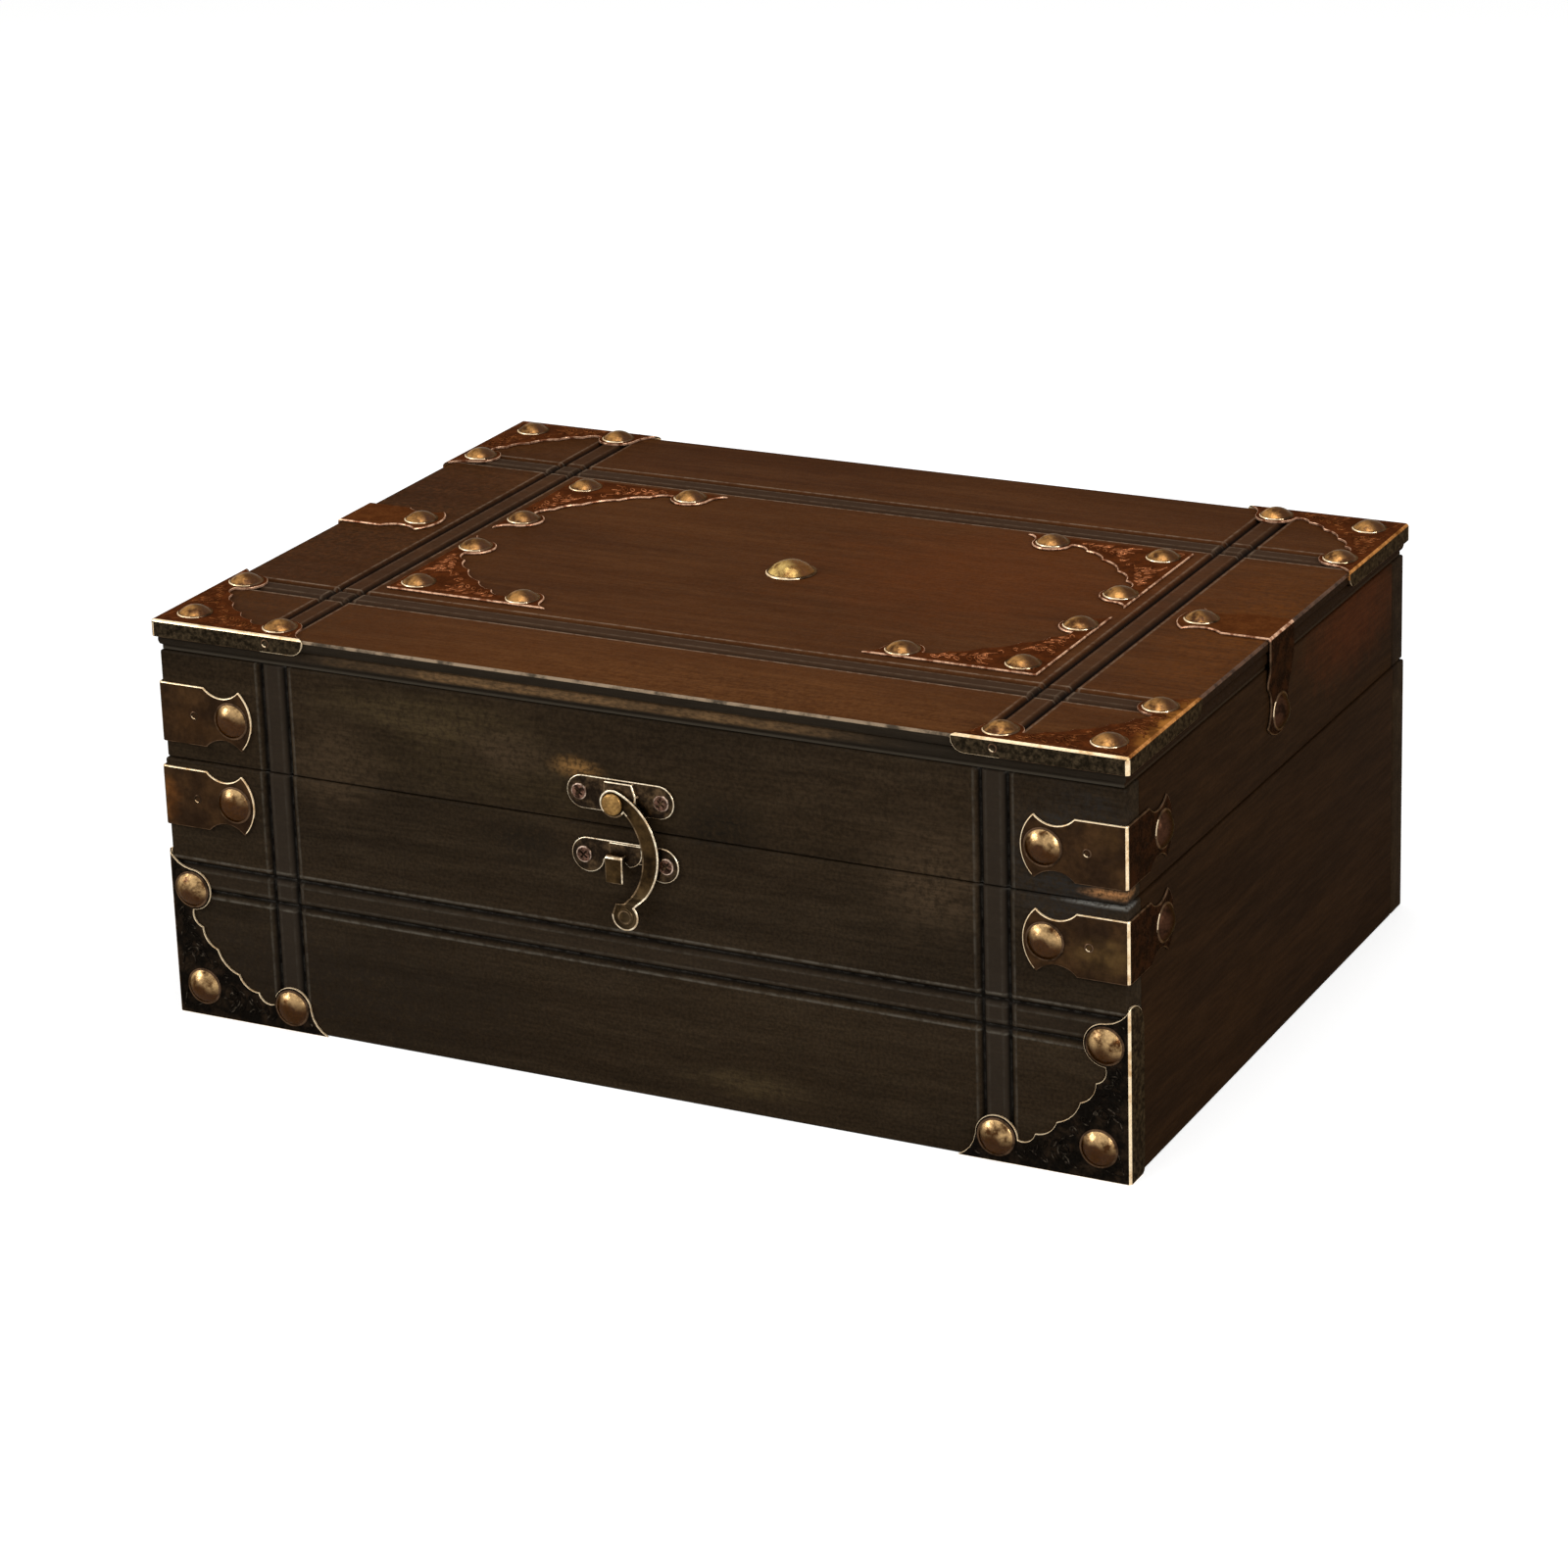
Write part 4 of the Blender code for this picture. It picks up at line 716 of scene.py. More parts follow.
rim_metal = metal("rubbed_and_highlit_rim", (206, 168, 120), (252, 226, 186), 0.28, 0.55, 0.34, 1, FINE_BUMP,
                  0.6, 0.2)
shaded_rim = metal("shaded_rim", (44, 32, 22), (92, 70, 52), 0.32, 0.62, 0.36, 1, FINE_BUMP, 0.6, 0.2, 0.5)
copper_rim = metal("copper_rim", (122, 76, 52), (214, 170, 138), 0.36, 0.58, 0.34, 1.6, FINE_BUMP,
                   0.6, 0.3)
relief_metal = metal("embossed_relief", (96, 50, 25), (172, 108, 70), 0.38, 0.68, 0.38, metallic=0.5,
                     edge_tint=0.5)
worn_relief = metal("worn_relief", (78, 41, 20), (120, 70, 38), 0.38, 0.68, 0.38, metallic=0.5,
                    edge_tint=0.5)
dark_relief = metal("dark_relief", (22, 18, 14), (88, 78, 66), 0.50, 0.72, 0.36, 1.8, metallic=0.5,
                    edge_tint=0.5)
stud_brass = brass("stud_brass", (64, 37, 13), (194, 158, 108), 0.26)
warm_brass = brass("warm_brass", (72, 43, 22), (176, 126, 68), 0.28)
shaded_brass = brass("shaded_brass", (28, 17, 11), (60, 38, 26), 0.26, metallic=0.4, lacquer=0)
centre_brass = brass("centre_brass", (98, 60, 26), (226, 190, 112), 0.20, 0.9)
latch_bronze = metal("latch_bronze", (33, 25, 18), (84, 66, 46), 0.40, 0.70, 0.36)
arm_bronze = metal("arm_bronze", (27, 19, 10), (72, 54, 31), 0.34, 0.68, 0.34, 0.55, speck=0.3,
                   patches=(((136, 112, 78), (0.0075, -0.112, 0.052), (0.008, 0.02, 0.013), 0.9),
                            ((36, 24, 15), (0.0050, -0.1150, 0.0569), (0.0034, 0.01, 0.0034), 1.0)))
latch_rim = metal("latch_rim", (176, 150, 116), (244, 226, 196), 0.30, 0.60, 0.30, bump=FINE_BUMP)
shaded_latch_rim = metal("shaded_latch_rim", (56, 44, 30), (122, 100, 74), 0.34, 0.64, 0.34, bump=FINE_BUMP)
screw_metal = metal("screw_metal", (44, 29, 22), (116, 85, 70), 0.40, 0.62, 0.34, 2.2)
screw_rim = metal("screw_rim", (94, 73, 61), (208, 182, 162), 0.36, 0.62, 0.32, 1.6, FINE_BUMP)
rivet_brass = metal("rivet_brass", (104, 76, 42), (156, 120, 70), 0.30, 0.70, 0.40, metallic=0.8,
                    edge_tint=0.5)
hinge_steel = metal("hinge_steel", (92, 84, 70), (150, 140, 120), 0.30, 0.70, 0.38)
print("finishes in all:", len(bpy.data.materials))

# %% [markdown]
# ## The boards
# Six boards make the base and five the lid. A board is a cube at its CAD size with eased
# edges. The decorative grooves are cut in pairs by bisecting the board beside each groove and
# sinking the new rows of corners, deepest in the middle, which leaves soft, rounded shoulders.

# %% Sizes of the box and its grooves
SIDES = ((-1, "left"), (1, "right"))
GROOVE_HALF = 0.00150
GROOVE_DEPTH = 0.0013
GROOVE_ROWS = (-1.55, -1.25, -0.95, -0.75, -0.55, -0.28, 0, 0.28, 0.55, 0.75, 0.95, 1.25, 1.55)
GROOVE_PITCH = 0.0078
INNER_LIP = 0.35
EASED_EDGE = 0.0006
base_low, base_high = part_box("base_front")
top_low, top_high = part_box("lid_top")
UPRIGHT_PAIR_X = base_high.x - 0.0381
LEVEL_PAIR_Z = base_high.z - 0.0358
CROSS_PAIR_Y = -base_low.y - 0.0395
print("groove pairs across:", round(UPRIGHT_PAIR_X, 4), "up:", round(LEVEL_PAIR_Z, 4))


# %% Helpers for boards
def start_board(name, node):
    """A cube at a CAD board's size and place."""
    low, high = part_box(node)
    bpy.ops.mesh.primitive_cube_add(size=1, location=(low + high) / 2, scale=high - low)
    return settle(named(name))


def eased_board(name, node):
    piece = start_board(name, node)
    edit(piece, bpy.ops.mesh.bevel, "EDGE", offset=EASED_EDGE, segments=3)
    return piece


def pair(middle):
    return (middle - GROOVE_PITCH / 2, middle + GROOVE_PITCH / 2)


def reach_to(place, grooves):
    """Distance to the nearest groove's middle, as a share of its half width."""
    return min(abs(place - groove) for groove in grooves) / GROOVE_HALF


def dark_share(place, grooves, valley):
    """1 in the valley of a groove, where stain gathered and shade is painted, falling to 0 at the
    valley's edge.
    """
    return min(max(1.5 * (1 - reach_to(place, grooves) / valley), 0), 1)


def band_share(place, grooves, valley):
    """1 on the strip between the two grooves of a pair."""
    return float(any(first < place < second for first, second in zip(grooves[::2], grooves[1::2])))


def lip_share(place, grooves, valley):
    """1 on the outer shoulder of a pair of grooves, less on the shoulders between them."""
    share = max(0, 1 - abs(reach_to(place, grooves) - 1.2) / 0.36)
    return share * (INNER_LIP if band_share(place, grooves, valley) else 1)


def cut_grooves(piece, face_axis, face_place, outward, cuts):
    """Cut, sink and mark grooves; a cut is (axis, grooves, valley, darkness, band, lip strength)."""
    for axis, grooves, *_ in cuts:
        for groove in grooves:
            for row in GROOVE_ROWS:
                bisect(piece, along(axis, groove + GROOVE_HALF * row), along(axis))

    def sink(at):
        """How far a corner of the face still has to go down."""
        share = max(0.5 + 0.5 * cos(pi * min(reach_to(at[cut[0]], cut[1]) / 0.95, 1)) for cut in cuts)
        below = (face_place - at[face_axis]) * outward
        left = GROOVE_DEPTH * share - below
        return round(left, 6) if left > 1e-6 and below < EASED_EDGE * 1.5 else 0
    shift_rows(piece, along(face_axis, -outward), sink)

    marks = (("groove", dark_share), ("band", band_share), ("lip", lip_share))
    for place, (label, share_at) in enumerate(marks, 3):
        layer = piece.data.attributes.new(label, "FLOAT", "POINT")
        for vertex, value in zip(piece.data.vertices, layer.data):
            if abs(vertex.co[face_axis] - face_place) < 2 * GROOVE_DEPTH:
                value.value = max(cut[place] * share_at(vertex.co[cut[0]], *cut[1:3]) for cut in cuts)
    smooth(piece, 50)


# %% The boards of the walls and the floor
front_uprights = pair(-UPRIGHT_PAIR_X) + pair(UPRIGHT_PAIR_X)
upright_cut = (0, front_uprights, 0.66, 1, 1, 0.5)
level_cut = (2, pair(LEVEL_PAIR_Z), 0.62, 1, 0.4, 1)
for body, cuts in (("base", (upright_cut, level_cut)), ("lid", (upright_cut,))):
    node = f"{body}_front"
    piece = coat(eased_board(f"{node}_grooved", node), front_wood)
    cut_grooves(piece, 1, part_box(node)[0].y, -1, cuts)
    dress(piece, body, "dark_wood", node)
    print(piece.name, "faces:", len(piece.data.polygons))
plain_boards = (("base", "left", side_wood), ("base", "right", side_wood), ("base", "back", back_wood),
                ("base", "floor", back_wood), ("lid", "left", side_wood), ("lid", "right", side_wood),
                ("lid", "back", back_wood))
for body, place, finish in plain_boards:
    node = f"{body}_{place}"
    piece = coat(eased_board(f"{node}_board", node), finish)
    smooth(piece, 50)
    dress(piece, body, "dark_wood", node)

# %% [markdown]
# ## The moulded top
# The lid's top overhangs the walls and has a moulding round it: a bead at the bottom, a cove,
# then a straight upper edge. One cube becomes the moulding when it is bisected at each height
# of the profile and each ring of four corners is drawn in by its inset.

# %% The top board
MOULDING_INSET = 0.0014
BEAD_RISE = 0.0009
BEAD_LOW = 0.0012
BEAD_HIGH = 0.0048
COVE_TOP = 0.0062
TOP_ROUND = 0.0007
TOP_THICKNESS = top_high.z - top_low.z
ROUND_START = top_high.z - TOP_ROUND - 1e-5


def moulding_profile():
    """Inset and height of the moulded edge, from the underside up."""
    middle = (BEAD_LOW + BEAD_HIGH) / 2
    half = (BEAD_HIGH - BEAD_LOW) / 2
    cove = COVE_TOP - BEAD_HIGH
    edge = TOP_THICKNESS - TOP_ROUND
    bead = [radians(angle) for angle in range(-90, 91, 15)]
    hollow = [radians(angle) for angle in range(18, 91, 18)]
    shoulder = [radians(angle) for angle in (30, 60, 90)]
    return ([(MOULDING_INSET, 0)]
            + [(MOULDING_INSET - BEAD_RISE * cos(a), middle + half * sin(a)) for a in bead]
            + [(MOULDING_INSET * (1 - sin(a)), BEAD_HIGH + cove * (1 - cos(a))) for a in hollow]
            + [(0, edge)]
            + [(TOP_ROUND * (1 - cos(a)), TOP_THICKNESS - TOP_ROUND * (1 - sin(a))) for a in shoulder])


def top_slot(face):
    """The slot of a face of the lid's top: rubbed edge with a painted highlight, underside, moulding or
    the flat top.
    """
    sideways = abs(face.normal.x) > abs(face.normal.y)
    outside = max(abs(face.center.x) - top_high.x, abs(face.center.y) - top_high.y)
    if face.center.z > ROUND_START and abs(face.normal.z) < 0.985 and outside > -TOP_ROUND * 1.1:
        return 4 if sideways else 3
    if face.normal.z < -0.9:
        return 5
    groove_floor = face.normal.z > 0.3 and face.center.z > top_high.z - 2 * GROOVE_DEPTH
    if face.center.z < ROUND_START and not groove_floor:
        return 2 if sideways else 1
    return 0


lid_top = coat(start_board("lid_top_moulded", "lid_top"), top_wood, front_moulding, side_moulding,
               front_edge, side_edge, back_wood)
profile = moulding_profile()
for inset, height in profile[1:-1]:
    bisect(lid_top, along(2, top_low.z + height), along(2))
for inset, height in profile:
    level = top_low.z + height
    edit(lid_top, bpy.ops.transform.resize, "VERT", lambda vertex: abs(vertex.co.z - level) < 1e-6,
         value=(1 - inset / top_high.x, 1 - inset / top_high.y, 1), center_override=(0, 0, level))
cut_grooves(lid_top, 2, top_high.z, 1, ((0, front_uprights, 1.0, 1, 0.45, 0.6),
                                        (1, pair(-CROSS_PAIR_Y) + pair(CROSS_PAIR_Y), 0.8, 0.6, 1, 1)))
for face in lid_top.data.polygons:
    face.material_index = top_slot(face)
dress(lid_top, "lid", "chestnut_wood", "lid_top")
print("lid top faces:", len(lid_top.data.polygons))

# %% [markdown]
# ## Studs, nails and screws
# A stud is a domed head, spun from half its section. The small nails are spun too, as a low
# ring round a hollow. The screws have a raised head with a cross cut into it by a Boolean
# modifier.

# %% Stud and nail masters
STUD_RADIUS = 0.0056
STUD_HEIGHT = 0.0026
TOP_STUD_RADIUS = 0.0051
TOP_STUD_HEIGHT = 0.0024
CENTRE_STUD_RADIUS = 0.0075
CENTRE_STUD_HEIGHT = 0.0038
DOME_ROWS = 9
DARK_REFLECTION_RING = 0.40
DARK_REFLECTION_RING_WIDTH = 0.16
SHEET = 0.0005
SEAT = 0.0003
PLATE_OUT = SEAT + SHEET
# the directions towards which a lip gets a painted highlight, and the sides of a dome painted as lit,
# with painted shade away from them
TOP_SHINE, SIDE_SHINE = (-0.45, -0.9, 0), (0, -0.9, 0.3)
TOP_LIT, FRONT_LIT, SIDE_LIT = (-0.6, -0.8, 0), (0.25, 0, 1), (0, -1, 0.4)
# how much more patina a stud kept than the others; the rubbed ones are below 0
STUD_TONES = {"base_corner_right_stud_across": -0.30, "base_corner_right_stud_along": -0.10,
              "base_corner_right_stud_corner": 0.10, "base_corner_left_stud_across": -0.15,
              "base_corner_left_stud_along": 0.20, "base_corner_left_stud_corner": -0.10,
              "lid_stud_left_front_domed": 0.20, "base_stud_left_front_domed": 0.30,
              "lid_corner_front_right_stud_along": -0.35, "lid_corner_front_left_stud_along": -0.30,
              "lid_corner_front_left_stud_corner": -0.15}


def off_axis(face, x=0, y=0):
    """How far a face's middle is from an upright axis."""
    return hypot(face.center.x - x, face.center.y - y)


def stain(piece, place, radius, lit_side, ring=0.0):
    """Write where a dome is darker: painted shade away from its lit side, a painted dark reflection in
    a ring, and its own tone of patina.
    """
    towards = Vector(lit_side).normalized()
    layer = piece.data.attributes.new("patina_and_shade", "FLOAT", "POINT")
    for vertex, value in zip(piece.data.vertices, layer.data):
        offset = (vertex.co - Vector(place)) / radius
        circle = max(0, 1 - abs(offset.length - DARK_REFLECTION_RING) / DARK_REFLECTION_RING_WIDTH)
        value.value = 0.50 - 0.95 * offset.dot(towards) + ring * circle + STUD_TONES.get(piece.name, 0)


def dome(name, radius, height, foot, finish):
    """A domed head on a thin rolled lip that reaches down to foot."""
    lip = height * 0.16
    inner = radius * 0.89
    rise = height - lip
    sphere = (inner * inner + rise * rise) / (2 * rise)
    sweep = asin(inner / sphere)
    section = [(0, foot), (radius * 0.97, foot), (radius, lip * 0.30), (radius * 0.985, lip * 0.75),
               (radius * 0.95, lip)]
    for k in range(DOME_ROWS):
        lean = sweep * (1 - k / DOME_ROWS)
        section.append((sphere * sin(lean), height - sphere * (1 - cos(lean))))
    piece = coat(spun(name, section + [(0, height)], 40), finish, shaded_rim, rim_metal)
    smooth(piece, 60)
    # The lip takes the darker rim as painted shade, until a painted highlight is put on its side
    # towards the lamps.
    reslot(piece, 1, lambda face: off_axis(face) > inner)
    return piece


def dimpled_nail(name):
    """A small flush nail: a low ring round a hollow."""
    section = [(0, -SHEET / 2), (0.0013, -SHEET / 2), (0.0013, 0.00005), (0.00115, 0.00016),
               (0.00095, 0.00014), (0.00065, -0.0001), (0, -0.00018)]
    piece = coat(spun(name, section, 24), flank_plate, shaded_rim, rim_metal)
    # The ring takes the darker rim as painted shade, and a crescent on the lower left of the hollow's
    # wall a painted highlight.
    reslot(piece, 1, lambda face: off_axis(face) > 0.0009)
    reslot(piece, 2, lambda face: 0.0007 < off_axis(face) < 0.0010
           and face.center.x < 0.0003 and face.center.y < -0.0002)
    smooth(piece, 60)
    return piece


def set_stud(name, place, facing, body, *nodes):
    """A copy of the stud at a place, facing up, forwards or sideways."""
    piece = copy_to(top_stud if facing[2] > 0.5 else stud, name, aim(place, facing))
    # Side studs take the shaded brass; a stud's lip towards the lamps gets a painted highlight, and its
    # far side painted shade.
    if abs(facing[0]) > 0.5:
        piece.data.materials[0] = shaded_brass
        shine(piece, SIDE_SHINE, level=0.8)
        stain(piece, place, STUD_RADIUS, SIDE_LIT)
    elif facing[2] > 0.5:
        shine(piece, TOP_SHINE)
        stain(piece, place, TOP_STUD_RADIUS, TOP_LIT)
    else:
        stain(piece, place, STUD_RADIUS, FRONT_LIT, 0.5)
    return dress(piece, body, "antique_brass_stud", *nodes)


stud = dome("stud_master", STUD_RADIUS, STUD_HEIGHT, -SHEET, stud_brass)
top_stud = dome("top_stud_master", TOP_STUD_RADIUS, TOP_STUD_HEIGHT, -SHEET, warm_brass)
nail = dimpled_nail("nail_master")
centre_place = along(2, top_high.z)
piece = settle(dome("centre_stud_brass", CENTRE_STUD_RADIUS, CENTRE_STUD_HEIGHT, 0, centre_brass),
               Matrix.Translation(centre_place))
# A painted highlight on the lip towards the lamps and painted shade on the far side of the dome, as on
# the other studs.
shine(piece, TOP_SHINE)
stain(piece, centre_place, CENTRE_STUD_RADIUS, TOP_LIT)
dress(piece, "lid", "antique_brass_stud", "centre_stud")
print("stud faces:", len(stud.data.polygons), "nail faces:", len(nail.data.polygons))

# %% Screw masters
SCREW_HEAD = 0.0024
SCREW_RAISE = 0.0005
SCREW_PROFILE = ((0.97, 0.5), (0.84, 0.75), (0.66, 0.62), (0.35, 0.95), (0, 1))


def cross_screw(name, *finishes):
    """A raised head with a cross cut into it; the finishes are those of head, rim and cut."""
    section = [(0, -0.0006), (SCREW_HEAD * 0.8, -0.0006), (SCREW_HEAD, 0.00005)]
    section += [(SCREW_HEAD * out, SCREW_RAISE * rise) for out, rise in SCREW_PROFILE]
    piece = spun(name, section)
    for turn in (40, 130):
        bpy.ops.mesh.primitive_cube_add(size=1, location=(0, 0, SCREW_RAISE),
                                        scale=(SCREW_HEAD * 1.2, 0.00055, 0.0007))
        blade = named("blade")
        bpy.ops.transform.rotate(value=radians(turn), orient_axis="Z", center_override=(0, 0, 0))
        settle(blade)
        modifier(piece, "BOOLEAN", operation="DIFFERENCE", solver="EXACT", object=blade)
        discard(blade)
    coat(piece, *finishes)
    reslot(piece, 1, lambda face: face.center.z > 0 and off_axis(face) > SCREW_HEAD * 0.86)
    reslot(piece, 2, lambda face: off_axis(face) < SCREW_HEAD * 0.62
           and 0 < face.center.z < SCREW_RAISE * 0.55)
    smooth(piece, 30)
    return piece


def set_screw(source, node, outward, body, slot_name):
    """A copy of a screw in place of a CAD one, its head facing to the front (-1) or back (1)."""
    place = centre(node)
    place.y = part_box(node)[0].y + SCREW_RAISE if outward < 0 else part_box(node)[1].y - SCREW_RAISE
    dress(copy_to(source, f"{node}_crossed", aim(place, (0, outward, 0))), body, slot_name, node)


screw = cross_screw("screw_master", screw_metal, screw_rim, latch_bronze)
steel_screw = cross_screw("steel_screw_master", hinge_steel, hinge_steel, hinge_steel)
print("screw faces:", len(screw.data.polygons))

# %% [markdown]
# ## Corner plates
# The finest metalwork on the chest: pressed sheet plates with lobed legs, a scalloped long
# side, a leafy relief and folded flanges. One is traced flat, its straight edges are extruded
# down for the flanges, the folds are bevelled, and the sheet gets its thickness. Its rims are
# bevelled last, with the bright rim finish, rubbed and with a painted highlight; rims that face
# down take a darker copy as painted shade. Each corner then gets a mirrored copy.

# %% Outline of a corner plate
# the leg's length, the end stud's place along and across it, and the corner stud's place
FOLDED = (0.0505, 0.0390, 0.0072, 0.0092)
FLAT = (0.0525, 0.0422, 0.0052, 0.0068)
PLATE_LEG = FOLDED[0]
LOBE_RADIUS = 0.0062
SCALLOPED_BOW = 0.0031
SCALLOPS = (3, 4, 5, 4, 3)
SCALLOP_SAG = 0.0013


def scalloped_outline(leg, end_stud, inset):
    """Triangle with two lobed legs and a scalloped long side, its right angle at (0, 0)."""
    half = [(leg, 0)] + arc((leg, 0), (end_stud + LOBE_RADIUS, inset), 0.0012, 4)
    half += circle_run((end_stud, inset), LOBE_RADIUS, 0, 180, 22)[1:]
    mirrored = [(y, x) for x, y in reversed(half)]
    bow = [half[-1]] + arc(half[-1], mirrored[0], SCALLOPED_BOW, sum(SCALLOPS))
    cusps = [bow[sum(SCALLOPS[:k])] for k in range(len(SCALLOPS) + 1)]
    long_side = []
    for start, end in zip(cusps, cusps[1:]):
        long_side += arc(start, end, SCALLOP_SAG, 8)
    return [(0, 0)] + half + long_side[:-1] + mirrored


# %% Relief of a corner plate
RELIEF_WIRE = 0.00020
RELIEF_SINK = 0.00004
SCROLL_STEPS = 14
# each stem's start, heading, length and curl
STEMS = (((0.0152, 0.0022), 18, 0.0150, 62), ((0.0165, 0.0118), -28, 0.0120, -58),
         ((0.0158, 0.0066), -4, 0.0100, 70), ((0.0122, 0.0152), 20, 0.0052, 66),
         ((0.0024, 0.0020), 12, 0.0120, 14), ((0.0432, 0.0014), 6, 0.0036, 30))


def scroll(start, heading, length, curl):
    """Points of a stem that winds up more tightly towards its tip."""
    x, y = start
    angle = radians(heading)
    points = [(x, y)]
    for k in range(SCROLL_STEPS):
        angle += radians(curl) * (k / SCROLL_STEPS) ** 1.5
        x += length / SCROLL_STEPS * cos(angle)
        y += length / SCROLL_STEPS * sin(angle)
        points.append((x, y))
    return points


def leaf(start, heading, length, width):
    """Closed outline of a small leaf that points along its heading."""
    angle = radians(heading)
    tip = (start[0] + length * cos(angle), start[1] + length * sin(angle))
    return [start] + arc(start, tip, width, 6) + arc(tip, start, width, 6)


def wire(path):
    """A thin raised line: a traced path made a curve, given a round section, made a mesh."""
    piece = trace("line", path, "NOTHING")
    if hypot(path[0][0] - path[-1][0], path[0][1] - path[-1][1]) > 1e-6:
        tips = {0, len(path) - 1}
        edit(piece, bpy.ops.mesh.delete, "EDGE", lambda edge: set(edge.vertices) == tips, type="EDGE")
    else:
        edit(piece, bpy.ops.mesh.remove_doubles, "VERT", threshold=1e-6)
    only(piece)
    bpy.ops.object.convert(target="CURVE")
    curve = bpy.context.object.data
    curve.bevel_depth = RELIEF_WIRE
    curve.bevel_resolution = 1
    curve.use_fill_caps = True
    bpy.ops.object.convert(target="MESH")
    return bpy.context.object


def relief_mesh(name):
    """Stems and leaves with their mirror image, flattened against the plate."""
    paths = [scroll(*stem) for stem in STEMS]
    for k in range(5):
        paths.append(leaf((0.0178 + 0.0031 * k, 0.0024 + 0.0009 * (k % 2)), 62 - 9 * k, 0.0034, 0.0006))
        paths.append(leaf((0.0186 + 0.0028 * k, 0.0108 - 0.0011 * k), -52 - 6 * k, 0.0030, 0.0005))
    half = join("relief_half", *[wire(path) for path in paths])
    swap = Matrix(((0, 1, 0, 0), (1, 0, 0, 0), (0, 0, 1, 0), (0, 0, 0, 1)))
    piece = join(name, copy_to(half, "relief_other", swap), half)
    piece.data.materials.clear()
    settle(piece, Matrix.Translation((0, 0, RELIEF_SINK)))
    smooth(piece, 60)
    return piece


# %% Plate masters
LID_FLANGE = 0.0052
BASE_FLANGE = 0.0095
LID_FLANGE_ROUND = 0.0040
BASE_FLANGE_ROUND = 0.0080
BASE_FOOT_ROUND = 0.0020
ROUND_STEP = 0.0008
BEND = 0.0010
RIM_WIDTH = 0.00032
SHEET_SMOOTH = 15
SHOWN_SHEET = 0.0007
ROUNDED_END = PLATE_LEG - 0.0140


def fold(piece, wanted):
    """Bevel the fold of a sheet; its faces take the rim finish."""
    edit(piece, bpy.ops.mesh.bevel, "EDGE", wanted, offset=BEND, segments=5, material=1)


def thicken_sheet(piece):
    """Give a sheet its thickness, inwards; its rims take the next finish."""
    modifier(piece, "SOLIDIFY", thickness=SHOWN_SHEET, offset=-1, use_even_offset=True,
             material_offset_rim=1)


def round_corners(piece, width, segments, flanges, foot=False):
    """Bevel the short edges through the sheet at the free lower corners of the flanges."""
    def free_corner(edge):
        tips = ends(piece, edge)
        if not SHOWN_SHEET * 0.8 <= (tips[0] - tips[1]).length <= SHOWN_SHEET * 1.2:
            return False
        return any(flange and all(abs(tip.z + flange) < 1e-5 and tip[1 - axis] < SHOWN_SHEET * 1.1
                                  and (tip[axis] < 1e-4 if foot else tip[axis] > PLATE_LEG - 1e-4)
                                  for tip in tips) for axis, flange in enumerate(flanges))
    return edit(piece, bpy.ops.mesh.bevel, "EDGE", free_corner, offset=width, segments=segments)


def plate_master(name, finish, shape, flanges=(0, 0), round_width=0):
    """A corner plate at the origin, face up; a flange hangs from an edge where it isn't 0."""
    both, folded = flanges
    piece = coat(trace(name, scalloped_outline(*shape[:3])), finish,
                 rim_metal if folded else copper_rim, flange_plate, shaded_rim, copper_rim, amber_fold)
    if folded:
        straight = lambda edge: lies_on(piece, edge, 0) or (both and lies_on(piece, edge, 1))
        edit(piece, bpy.ops.mesh.extrude_region_move, "EDGE", straight,
             TRANSFORM_OT_translate={"value": (0, 0, -folded)})
        fold(piece, lambda edge: (lies_on(piece, edge, 2) and straight(edge))
             or (both and lies_on(piece, edge, 0, 1)))
    thicken_sheet(piece)
    if folded:
        count = round_corners(piece, round_width, round(round_width / ROUND_STEP), flanges)
        if not both:
            count += round_corners(piece, BASE_FOOT_ROUND, 6, flanges, True)
        print("rounded flange corners:", count)
    if both:
        bisect(piece, (ROUNDED_END, 0, 0), (1, 0, 0))
    bevel_rims(piece, RIM_WIDTH)

    def rim_slot(face):
        """The finish of a rim or fold: that of the sheet beside it, a darker rim as painted shade
        below, coloured on top.
        """
        x, y, z = face.center
        if folded and z > -BEND * 1.02 and min(x, y) < BEND * 1.02:
            if face.normal.z > 0.97:
                return 0
            if min(face.normal.x, face.normal.y) < -0.97:
                return 2
        if z < -2 * BEND:
            return 3 if face.normal.z < -0.3 and x < ROUNDED_END else 1
        return (5 if x < BEND * 1.1 else 4) if both and y > BEND * 1.1 else 1
    for face in piece.data.polygons:
        if face.material_index == 1:
            face.material_index = rim_slot(face)
        elif face.material_index == 0 and abs(face.normal.z) < 0.5:
            face.material_index = 2
    smooth(piece, SHEET_SMOOTH)
    return piece


lid_corner = plate_master("lid_corner_master", lid_plate, FOLDED, (LID_FLANGE, LID_FLANGE),
                          LID_FLANGE_ROUND)
panel_corner = plate_master("panel_corner_master", lid_plate, FLAT)
base_corner = plate_master("base_corner_master", flank_plate, FOLDED, (0, BASE_FLANGE),
                           BASE_FLANGE_ROUND)
relief = relief_mesh("relief_master")
print("plate faces:", len(lid_corner.data.polygons), "relief faces:", len(relief.data.polygons))


